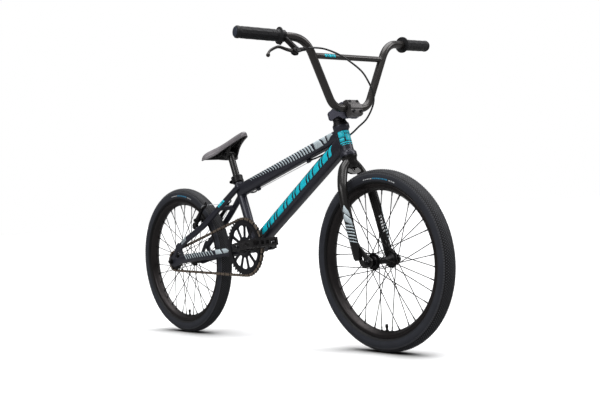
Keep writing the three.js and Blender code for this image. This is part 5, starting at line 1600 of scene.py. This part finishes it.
LEVER_AXIS = on_lever(0, 0, 1) - on_lever(0, 0, 0)
LEVER_UP = on_lever(0, 1) - on_lever(0, 0)


def on_clamp(forward, left, up):
    """Near the clamp of the lever's bracket on the right of the bar."""
    local = Vector(BAR_TIP) - (Vector(BAR_TIP) - Vector(BAR_HIGH)).normalized() * (GRIP_LENGTH + 8)
    return on_head(local.x + forward, -local.y + left, local.z + up)


def bracket_shape():
    """A hinged clamp on the bar, a neck down to the pivot, two cheeks and a threaded nose."""
    shape = Shape()
    along = mirror(BAR_ALONG)
    shape.lathe([[11.3, -6], [15.2, -6], [15.9, -5.2], [15.9, 5.2], [15.2, 6], [11.3, 6], [11.3, -6]],
                in_from_tip(136, -1),
                along, 44)
    ear = Sweep(smooth_path([on_clamp(-8, 0, -8), on_clamp(-14, 0, -14)], 3), mixed((5, 5.4), (4.4, 5.2)),
                power=3)
    ear.into(shape, 20)
    Sweep(smooth_path([on_clamp(5, 2, -6), on_clamp(7, 4, -13), on_lever(-6, 16), on_lever(-12, 6)], 3),
          mixed((7, 6), (7.6, 7)), across=HEAD_FORWARD, power=2.6).into(shape, 24)
    Sweep(smooth_path([on_lever(-4, 4), on_lever(-18, 7), on_lever(-33.5, 11)], 3),
          mixed((7.2, 7.2), (4.8, 4.8)),
          power=2.4).into(shape, 24)
    cheek = rounded([(-14, -5), (2, -7.5), (8.5, -3), (8.5, 4), (2, 8), (-14, 10)], 5, 5)
    for low, high in ((-8, -3.7), (3.7, 8)):
        shape.prism(cheek, low, high, on_lever)
    return shape


def bracket_screws():
    """The clamp screw, the pivot's two ends and the bright reach screw."""
    dark, bright = Shape(), Shape()
    dark.bolt(on_clamp(-15, 0, -15), on_clamp(-15, 0, -15) - on_clamp(-8, 0, -8), 3.6, 3.2)
    for sign in (-1, 1):
        dark.bolt(on_lever(0, 0, sign * 7.6), LEVER_AXIS * sign, 4.0, 2.0)
    bright.bolt(on_lever(-9, 9.5, -7.4), LEVER_AXIS * -1, 2.3, 2.4)
    bright.bolt(on_lever(-24, 14, 0), LEVER_UP, 2.0, 2.6)
    return dark, bright


def lever_shape():
    """A slim two-finger blade with two bends, a hook and a ball at its tip."""
    shape = Shape()
    path = smooth_path([on_lever(*p) for p in ((0, 0), (12, 2.6), (26, 6.2), (40, 12), (49, 13.4), (58, 11),
                                               (72, 4.5), (86, -3.5), (95, -12),
                                               (100, -19))], 2.4)

    def half(share):
        return 3.2 + 2.4 * share, 3.2 + 4.4 * max(0, 1 - share * 2.6)

    Sweep(path, half, across=LEVER_AXIS, power=2.5).into(shape, 24)
    shape.lathe([[2.9, -3.2], [6.6, -3.2], [7.1, -2.6], [7.1, 2.6], [6.6, 3.2], [2.9, 3.2], [2.9, -3.2]],
                on_lever(0, 0), LEVER_AXIS, 32)
    ball = [[5.4 * math.sin(math.pi * i / 12), -5.4 * math.cos(math.pi * i / 12)] for i in range(13)]
    ball[0][0] = ball[-1][0] = 0
    shape.lathe(ball, on_lever(100, -19), LEVER_AXIS, 24)
    return shape


def adjuster_shape():
    """A knurled barrel with its lock ring."""
    shape = Shape()
    at = on_lever(-34.5, 11)
    axis = on_lever(-46, 13) - at
    knurl = lambda j, angle: -0.45 if j in (1, 2, 3) and math.cos(14 * angle) > 0 else 0
    shape.lathe([[0, -2], [3.6, -2], [3.6, 4.0], [0, 4.0]], at, axis, 20)
    shape.lathe([[0, 0.4], [5.4, 0.6], [5.4, 2.6], [0, 2.8]], at, axis, 56, 0, knurl)
    shape.lathe([[0, 3.6], [5.0, 3.9], [5.4, 5], [5.0, 9.4], [3.8, 11.6], [0, 11.6]], at, axis, 56, 0, knurl)
    return shape


make("lever_clamp", bracket_shape(), BLACK_ALLOY, "steering", ["lever_bracket"], "black_metal", bevel=0.3,
     sharp=40)
dark_screws, bright_screws = bracket_screws()
make("lever_screws", dark_screws, DARK_STEEL, "steering", slot="dark_steel")
make("reach_screws", bright_screws, BRIGHT_STEEL, "steering", slot="bright_steel")
make("hooked_lever", lever_shape(), GUNMETAL, "brake_lever", ["brake_lever"], "black_metal", sharp=60)
make("knurled_adjuster", adjuster_shape(), BLACK_ALLOY, "steering", ["barrel_adjuster"], "black_metal",
     sharp=25)


# ---------------------------------------------------------------- cables
FRONT_RUN = [on_head(*p) for p in ((118, -160, 574), (120, -135, 575), (122, -105, 572), (128, -72, 558),
                                   (130, -42, 541),
                                   (131, -2, 510), (129, 17, 480), (124, 29, 445), (108, 34, 419),
                                   (70, 36, 394), (34, 32, 383),
                                   (6, 27, 374))]
FRONT_RUN += [Vector(p) for p in ((800, 25, 588), (752, 21, 563), (714, 9, 548), (684, 0, 539.8))]
REAR_RUN = [Vector(p) for p in ((428, 0, 469), (405, 12, 466), (380, 26, 463), (350, 33, 462), (306, 36, 467),
                                (272, 36, 477))]
NOODLE_RUN = [REAR_RUN[-2], REAR_RUN[-1], on_brake(288, 40, 4), on_brake(288, 50, 3), on_brake(282, 55, 2),
              on_brake(275, 52, 1),
              on_brake(WIRE_OUT, 44, 0), on_brake(WIRE_OUT, 36, 0)]


def ferrule(shape, at, axis):
    shape.lathe([[0, 0], [3.4, 0], [3.4, 7.2], [2.89, 9], [0, 9]], at, axis, 24)


def cables():
    front = Shape()
    Sweep(smooth_path(FRONT_RUN, 5), 2.5, across=HEAD_FORWARD).into(front, 16)
    piece = make("long_cable_housing", front, CABLE_SHEATH, None,
                 ["cable_housing_front", "cable_housing_middle"], "black_rubber",
                 sharp=60)
    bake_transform(piece)
    rear = Shape()
    path = smooth_path(REAR_RUN + NOODLE_RUN[2:3], 4)
    Sweep(path[:int(len(path) * 0.93)], 2.5).into(rear, 16)
    make("rear_cable_housing", rear, CABLE_SHEATH, "frame", ["cable_housing_rear"], "black_rubber", sharp=60)
    ends = Shape()
    ferrule(ends, Vector((681, 0, 539)), Vector((10, 0, 2.7)))
    ferrule(ends, Vector((431, 0, 469.8)), Vector((-10, 6, -2.7)))
    make("cable_ferrules", ends, BLACK_ALLOY, "frame", slot="black_metal")
    noodle = Shape()
    bent = smooth_path(NOODLE_RUN, 2)
    Sweep(bent[int(len(bent) * 0.42):], 2.3).into(noodle, 20)
    piece = make("brake_noodle", noodle, NOODLE_STEEL, None, slot="bright_steel", sharp=60)
    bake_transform(piece)
    boot = Shape()
    ribs = [[0, 0], [3.4, 0], [3.4, 4]]
    for k in range(6):
        ribs += [[3.9 - 0.16 * k, 4.6 + 3.2 * k], [3.9 - 0.16 * k, 6.0 + 3.2 * k],
                 [2.7 - 0.14 * k, 6.6 + 3.2 * k],
                 [2.7 - 0.14 * k, 7.4 + 3.2 * k]]
    ribs += [[1.6, 25.6], [0, 25.6]]
    boot.lathe(ribs, on_brake(WIRE_OUT, 38, 0), (0, -1, 0), 24)
    make("brake_boot", boot, GRIP_RUBBER, "brake_arm_left", slot="black_rubber", sharp=25)
    wire = Shape()
    Sweep(straight(on_brake(WIRE_OUT, 44, 0), on_brake(WIRE_OUT, -52, 0), 8), 0.8,
          across=(1, 0, 0)).into(wire, 10)
    Sweep(smooth_path([on_brake(WIRE_OUT, -50, 0), on_brake(266, -56, -1), on_brake(256, -57, -2)], 2), 0.9,
          across=(1, 0, 0)).into(wire, 10)
    make("brake_wire", wire, BRIGHT_STEEL, "brake_arm_right", slot="bright_steel", sharp=60)


cables()


# ---------------------------------------------------------------- rear brake
def brake_arm_shape():
    """A long flat arm: boss, a swelling where the shoe is held, and a forked head."""
    shape = Shape()
    path = smooth_path([on_brake(out, y, 0) for out,
                        y in ((163, 40), (182, 41), (204, 45), (240, 49), (264, 49.5))], 4)

    def half(share):
        swelling = math.exp(-((share - 0.38) / 0.14) ** 2)
        return 6.6 - 1.8 * share, 6.2 + 3.2 * swelling - 0.8 * share

    Sweep(path, half, power=3.0).into(shape, 28)
    shape.lathe([[4.6, -7.5], [8.4, -7.5], [9.2, -6.6], [9.2, 5.8], [8.4, 6.8], [4.6, 6.8], [4.6, -7.5]],
                on_brake(PIVOT_OUT, PIVOT_LEFT), BRAKE_BACK, 36)
    fork = rounded([(258, 43), (282, 43), (282, 47), (262, 47)], 1.2, 2)
    for low, high in ((-5, -2.6), (2.6, 5)):
        shape.prism(fork, low, high, on_brake)
    return shape


def brake_fittings(side):
    """Pivot bolt, shoe post with washers and its nut, and the return spring."""
    steel = Shape()
    steel.bolt(on_brake(PIVOT_OUT, PIVOT_LEFT, 6.6), BRAKE_BACK, 5.4, 5)
    steel.lathe([[0, 0], [7, 0], [7, 1.2], [0, 1.2]], on_brake(PIVOT_OUT, PIVOT_LEFT, 6.4), BRAKE_BACK, 28)
    steel.lathe([[0, 27], [3, 27], [3, 54], [0, 54]], on_brake(SHOE_OUT, 0), LEFT, 18)
    for at in (35.5, 51.5):
        steel.lathe([[0, at], [6.2, at], [6.2, at + 1.3], [4.8, at + 2.4], [0, at + 2.4]],
                    on_brake(SHOE_OUT, 0), LEFT, 28)
    steel.prism(ring(0, 0, 5.4, 6), 53.6, 57.4, lambda r, t, y: on_brake(SHOE_OUT + r, y, t))
    spring = smooth_path([on_brake(168, 47, -9), on_brake(178, 50, -9), on_brake(206, 52.5, -8.2),
                          on_brake(232, 54.5, -7.2),
                          on_brake(244, 55, -4)], 3)
    Sweep(spring, 0.8).into(steel, 10)
    coil = []
    for k in range(40):
        a = 2 * math.pi * k / 13
        coil.append(on_brake(PIVOT_OUT + 7.4 * math.cos(a), PIVOT_LEFT + 7.4 * math.sin(a), -8.6 - 0.07 * k))
    Sweep(coil, 0.8, across=BRAKE_BACK).into(steel, 8)
    return steel if side > 0 else steel.mirrored()


def shoe_shape():
    """A curved block with wear grooves, and its backing."""
    rubber, back = Shape(), Shape()

    def place(t, r, y):
        return on_brake(math.sqrt(max(1, 203 ** 2 - t * t)) - 2 + r, y, t)

    for shape, length, high, y0, y1, count in ((rubber, 56, 5, 19.6, 24, 14), (back, 44, 3.6, 23.8, 28, 12)):
        outline = [(-length / 2 + length * i / count, high) for i in range(count + 1)]
        outline += [(length / 2 - length * i / count, -high) for i in range(count + 1)]
        shape.prism(outline, y0, y1, place)
    for k in range(5):
        start = -26 + 10.9 * k
        rubber.prism(box_outline(start, -5, start + 9, 5), 17.4, 20, place)
    return rubber, back


def head_bolt(side):
    """The noodle's cradle on the left arm, or the cable's anchor bolt and washer on the right one."""
    shape = Shape()
    if side > 0:
        shape.lathe([[2.5, -4], [4.6, -4], [4.6, 4], [2.5, 4], [2.5, -4]], on_brake(WIRE_OUT, 46, 0), LEFT,
                    24)
        return shape
    shape.bolt(on_brake(256, -53.5, 0), (0, -1, 0), 4.4, 5)
    shape.lathe([[0, 0], [6, 0], [6, 1.4], [0, 1.4]], on_brake(256, -54.6, 0), (0, -1, 0), 28)
    return shape


arm, (pad, backing) = brake_arm_shape(), shoe_shape()
for side, word in ((1, "left"), (-1, "right")):
    body = "brake_arm_" + word
    turned = (lambda s: s) if side > 0 else (lambda s: s.mirrored())
    make("cantilever_" + word, turned(arm), BLACK_ALLOY, body, ["brake_arm_" + word], "black_metal",
         bevel=0.3, sharp=38)
    make("brake_shoe_" + word, turned(pad), PAD_RUBBER, body, ["brake_pad_" + word], "black_rubber",
         bevel=0.3)
    make("shoe_backing_" + word, turned(backing), BLACK_ALLOY, body, slot="black_metal", bevel=0.4)
    make("brake_fittings_" + word, brake_fittings(side), DARK_STEEL, body, slot="dark_steel", sharp=35)
    make("brake_head_" + word, head_bolt(side), DARK_STEEL, body, slot="dark_steel", sharp=35)


# ---------------------------------------------------------------- seat
SADDLE = ((186, 592, 26, 12), (196, 597, 42, 20), (212, 603, 56, 28), (238, 609, 68, 34), (268, 619, 49, 33),
          (300, 631, 33, 28),
          (330, 643, 22, 25), (358, 652, 15, 22), (374, 655, 12, 19), (382, 651, 6, 11))
SADDLE_PIVOT = on_seat_tube(318)
SADDLE_LINES = [[(p.x, p.y) for p in smooth_path([(row[0], row[i], 0) for row in SADDLE], 3)] for i in (1, 2,
                                                                                                        3)]


def saddle_at(x):
    """Crest height, half width and depth of the saddle at a distance along the bike."""
    return [value_at(line, x) for line in SADDLE_LINES]


def saddle_shape():
    """A thin moulded shell: domed across, with a rolled lower edge, and open underneath."""
    shape = Shape()
    low, high = SADDLE[0][0], SADDLE[-1][0]
    count = 56
    rings = []
    for i in range(count + 1):
        share = 0.5 - 0.5 * math.cos(math.pi * i / count)
        x = low + (high - low) * share
        crest, half, depth = saddle_at(x)
        end = min(1.0, min(i, count - i) / 3)
        wall = 3.2 + (1 - end) * 3
        outer, inner = [], []
        steps = 22
        for k in range(steps + 1):
            a = math.pi * k / steps
            c, s = math.cos(a), math.sin(a)
            y = half * math.copysign(abs(c) ** 0.78, c)
            z = crest - depth + depth * abs(s) ** 0.82
            outer.append(Vector((x, y, z)))
            y = max(half - wall, half * 0.2) * math.copysign(abs(c) ** 0.78, c)
            z = crest - depth + 0.4 + max(depth - wall * 1.4, 1) * abs(s) ** 0.82 * end
            inner.append(Vector((x, y, z)))
        rings.append(outer + list(reversed(inner)))
    return shape.skin(rings)


def saddle_piping():
    """The raised light line along the shell's lower edge, all the way round; its lightness is the shell's
    pale plastic, which is partly a painted highlight.
    """
    shape = Shape()
    left, right = [], []
    low, high = SADDLE[0][0] + 0.4, SADDLE[-1][0] - 0.4
    for i in range(49):
        x = low + (high - low) * (0.5 - 0.5 * math.cos(math.pi * i / 48))
        crest, half, depth = saddle_at(x)
        left.append(Vector((x, half - 0.2, crest - depth + 1.5)))
        right.append(Vector((x, -half + 0.2, crest - depth + 1.5)))
    loop = left + list(reversed(right))
    return bead(shape, loop, 1.25, ripple=0.0)


def saddle_underside():
    """Cheeks either side of the post's head, cross ribs and a long rib on each side."""
    shape = Shape()
    cx, cz = SADDLE_PIVOT.x, SADDLE_PIVOT.z
    outline = arc(cx, cz, 15.5, 172, 338, 16) + [(cx + 22, cz + 8), (cx + 34, cz + 33), (cx + 10, cz + 34),
                                                 (cx - 30, cz + 19)]
    hole = drilled(cx, cz, 4.2, 20)
    for side in (-1, 1):
        shape.prism(outline, side * 15.5, side * 21, side_place, [hole])
    for x in (204, 220, 236, 252, 268, 284, 312, 328, 344, 360):
        crest, half, depth = saddle_at(x)
        wide = max(half - 5, 4)
        top = crest - 6.5
        low = crest - depth + 3
        if top - low < 3:
            continue
        outline_rib = [(-wide, low), (wide, low), (wide * 0.82, (low + top) / 2), (wide * 0.5, top),
                       (-wide * 0.5, top),
                       (-wide * 0.82, (low + top) / 2)]
        shape.prism(outline_rib, x - 1.1, x + 1.1, lambda y, z, along: Vector((along, y, z)))
    for side in (-1, 1):
        rail = smooth_path([(200, side * 18, 587), (240, side * 20, 588), (280, side * 18, 597),
                            (320, side * 10, 618), (356, side * 6, 636)], 6)
        Sweep(rail, mixed((1.6, 7), (1.4, 6)), power=4).into(shape, 16)
    return shape


def saddle_bolts():
    shape = Shape()
    shape.lathe([[0, -22], [3.8, -22], [3.8, 22], [0, 22]], SADDLE_PIVOT, LEFT, 20)
    for side in (-1, 1):
        at = SADDLE_PIVOT + LEFT * (side * 20.8)
        shape.lathe([[0, 0], [8.2, 0], [8.2, 1.4], [7.4, 2.0], [0, 2.0]], at, (0, side, 0), 32)
        shape.bolt(at + LEFT * (side * 1.8), (0, side, 0), 5.6, 4.2)
    return shape


def seat_post_shape():
    shape = Shape()
    shape.lathe([[8.6, 110], [11.1, 110.6], [11.1, 309], [8.6, 309], [8.6, 110]], CRANK, SEAT_UP, 44)
    grooves = [[0, -15], [11.4, -15], [12, -14.4]]
    for k in range(9):
        grooves += [[12, -12.6 + 2.8 * k], [11.3, -12.0 + 2.8 * k], [11.3, -11.4 + 2.8 * k],
                    [12, -10.8 + 2.8 * k]]
    grooves += [[12, 14.4], [11.4, 15], [0, 15]]
    shape.lathe(grooves, SADDLE_PIVOT, LEFT, 48)
    return shape


def seat_clamp_shape():
    shape = Shape()
    inner = SEAT_TUBE_RADIUS + 0.3
    shape.lathe([[inner, 217], [18.2, 217], [18.8, 217.8], [18.8, 222], [18.2, 222.8], [18.2, 231.2],
                 [18.8, 232], [18.8, 236.6],
                 [17.6, 238.2], [12, 238.2], [11.6, 237.4], [11.6, 236.4], [inner, 236.2], [inner, 217]],
                 CRANK, SEAT_UP, 56)
    for low, high in ((-10.5, -1.2), (1.2, 10.5)):
        ear = rounded([(14, 220), (24, 221), (25.5, 227), (24, 233), (14, 234)], 3.5, 4)
        shape.prism(ear, low, high, lambda back, up, y: on_seat_tube(up, y, -back))
    return shape


def seat_clamp_screw():
    at = on_seat_tube(227, 0, -21)
    shape = Shape()
    shape.lathe([[0, -13], [2.6, -13], [2.6, 13.5], [0, 13.5]], at, LEFT, 16)
    shape.bolt(at - LEFT * 10.4, (0, -1, 0), 4.6, 5.0)
    shape.lathe([[0, 10.3], [4.4, 10.3], [4.4, 13], [3.8, 13.6], [0, 13.6]], at, LEFT, 6)
    return shape


make("saddle_shell", saddle_shape(), LIGHTENED_SADDLE_PLASTIC, "saddle", ["saddle"], "saddle_plastic", sharp=50)
make("saddle_piping", saddle_piping(), LIGHTENED_SADDLE_PLASTIC, "saddle", slot="saddle_plastic", sharp=60)
make("saddle_ribs", saddle_underside(), UNDER_PLASTIC, "saddle", slot="saddle_plastic", bevel=0.3)
make("saddle_bolts", saddle_bolts(), DARK_STEEL, "saddle", slot="dark_steel")
make("seat_pillar", seat_post_shape(), BLACK_PAINT, "seat_post", ["seat_post"], "black_metal", sharp=28)
make("seat_collar", seat_clamp_shape(), BLACK_ALLOY, "frame", ["seat_clamp"], "black_metal", bevel=0.3,
     sharp=30)
make("seat_collar_screw", seat_clamp_screw(), DARK_STEEL, "frame", ["seat_clamp_bolt"], "dark_steel",
     sharp=30)


# ---------------------------------------------------------------- CAD nodes that are shown as they are
for node, material in (("headset_bearing_lower", DARK_STEEL), ("headset_bearing_upper", DARK_STEEL),
                       ("brake_cable", BRIGHT_STEEL)):
    mesh = frame["nodes"][node].data
    mesh.materials.clear()
    mesh.materials.append(material)


# ---------------------------------------------------------------- floor, light and camera
ROOM_LIGHT = 0.45
CAMERA_PLACE = Vector((2.8483, -1.8835, 0.4101))
CAMERA_ANGLES = (51.504, 0.192, -3.660)  # azimuth from the bike's right side, elevation and roll
CAMERA_LENS = 58.96
CAMERA_SHIFT = (0.0503, 0.01805)


def floor():
    bpy.ops.mesh.primitive_plane_add(size=60, location=(0, 0, 0))
    ground = bpy.context.object
    ground.name = "floor"
    n = Nodes("floor_paper_painted_shadow")
    speck = n.noise(3, 3)
    paper = n.mix(n.span(speck, 0.3, 0.7, 0, 1), (0.90, 0.90, 0.90), (0.915, 0.915, 0.915))
    # Painted contact shadow: ambient occlusion darkens the floor's colour to black where the tyres and other
    # parts stand close, as the camera sees it. To all other rays the floor is a flat dark grey, which lights
    # the bike's undersides less and shows less in their reflections.
    seen = n.node("ShaderNodeLightPath").outputs["Is Camera Ray"]
    near = n.node("ShaderNodeAmbientOcclusion", samples=12)
    near.inputs["Distance"].default_value = 0.16
    painted_contact_shadow = n.span(near.outputs["AO"], 0.3, 0.92, 0, 1)
    n.put("Base Color", n.mix(seen, (0.22, 0.22, 0.22), n.mix(painted_contact_shadow, (0, 0, 0), paper)))
    n.put("Roughness", n.span(n.noise(8, 3), 0.3, 0.7, 0.8, 0.9))
    n.put("Specular IOR Level", 0.1)
    n.bump(n.noise(300, 2), 0.05)
    ground.data.materials.append(n.material)


def world():
    """White to the camera, and a soft grey room that is brighter overhead to everything else."""
    sky = bpy.data.worlds.new("studio")
    sky.use_nodes = True
    tree = sky.node_tree
    tree.nodes.clear()

    def node(kind):
        return tree.nodes.new(kind)

    out, mix, path = node("ShaderNodeOutputWorld"), node("ShaderNodeMixShader"), node("ShaderNodeLightPath")
    room, white, ramp = node("ShaderNodeBackground"), node("ShaderNodeBackground"), node("ShaderNodeValToRGB")
    split, where = node("ShaderNodeSeparateXYZ"), node("ShaderNodeTexCoord")
    white.inputs[0].default_value = (1, 1, 1, 1)
    white.inputs[1].default_value = 1.0
    ramp.color_ramp.elements[0].position = 0.0
    ramp.color_ramp.elements[0].color = (0.12, 0.12, 0.13, 1)
    ramp.color_ramp.elements[1].position = 0.8
    ramp.color_ramp.elements[1].color = (1.0, 1.0, 1.02, 1)
    room.inputs[1].default_value = ROOM_LIGHT
    tree.links.new(where.outputs["Generated"], split.inputs[0])
    tree.links.new(split.outputs["Z"], ramp.inputs[0])
    tree.links.new(ramp.outputs[0], room.inputs[0])
    tree.links.new(path.outputs["Is Camera Ray"], mix.inputs[0])
    tree.links.new(room.outputs[0], mix.inputs[1])
    tree.links.new(white.outputs[0], mix.inputs[2])
    tree.links.new(mix.outputs[0], out.inputs[0])
    bpy.context.scene.world = sky


def softbox(name, at, target, size, power):
    data = bpy.data.lights.new(name, "AREA")
    data.shape = "RECTANGLE"
    data.size, data.size_y = size
    data.energy = power
    lamp = bpy.data.objects.new(name, data)
    bpy.context.scene.collection.objects.link(lamp)
    lamp.location = at
    lamp.rotation_euler = (Vector(target) - Vector(at)).to_track_quat("-Z", "Y").to_euler()


def sun(name, toward, spread, strength):
    """An even soft light from a direction."""
    data = bpy.data.lights.new(name, "SUN")
    data.angle = math.radians(spread)
    data.energy = strength
    lamp = bpy.data.objects.new(name, data)
    bpy.context.scene.collection.objects.link(lamp)
    lamp.rotation_euler = (-Vector(toward)).to_track_quat("-Z", "Y").to_euler()


def camera():
    """The photo's view: from low in front of the bike on its right, nearly level and a little rolled."""
    azimuth, elevation, roll = (math.radians(degrees) for degrees in CAMERA_ANGLES)
    back = Vector((math.sin(azimuth) * math.cos(elevation), -math.cos(azimuth) * math.cos(elevation),
                   math.sin(elevation)))
    right = Vector((0, 0, 1)).cross(back).normalized()
    up = back.cross(right)
    turned_right = right * math.cos(roll) + up * math.sin(roll)
    turned_up = up * math.cos(roll) - right * math.sin(roll)
    data = bpy.data.cameras.new("photo_camera")
    data.sensor_width = 36
    data.lens = CAMERA_LENS
    data.shift_x, data.shift_y = CAMERA_SHIFT
    data.clip_end = 100
    eye = bpy.data.objects.new("photo_camera", data)
    bpy.context.scene.collection.objects.link(eye)
    matrix = Matrix((turned_right, turned_up, back)).transposed().to_4x4()
    matrix.translation = CAMERA_PLACE
    eye.matrix_world = matrix
    bpy.context.scene.camera = eye


floor()
world()
sun("sky_panel", (0.25, 0.3, 4.0), 64, 3.7)
softbox("key", (3.0, 2.4, 2.6), (0.6, 0, 0.4), (1.6, 1.6), 34)
softbox("side", (0.6, -3.4, 2.4), (0.5, 0, 0.4), (2.6, 0.9), 38)
camera()
bpy.context.scene.view_settings.view_transform = "Standard"
bpy.context.scene.view_settings.look = "None"
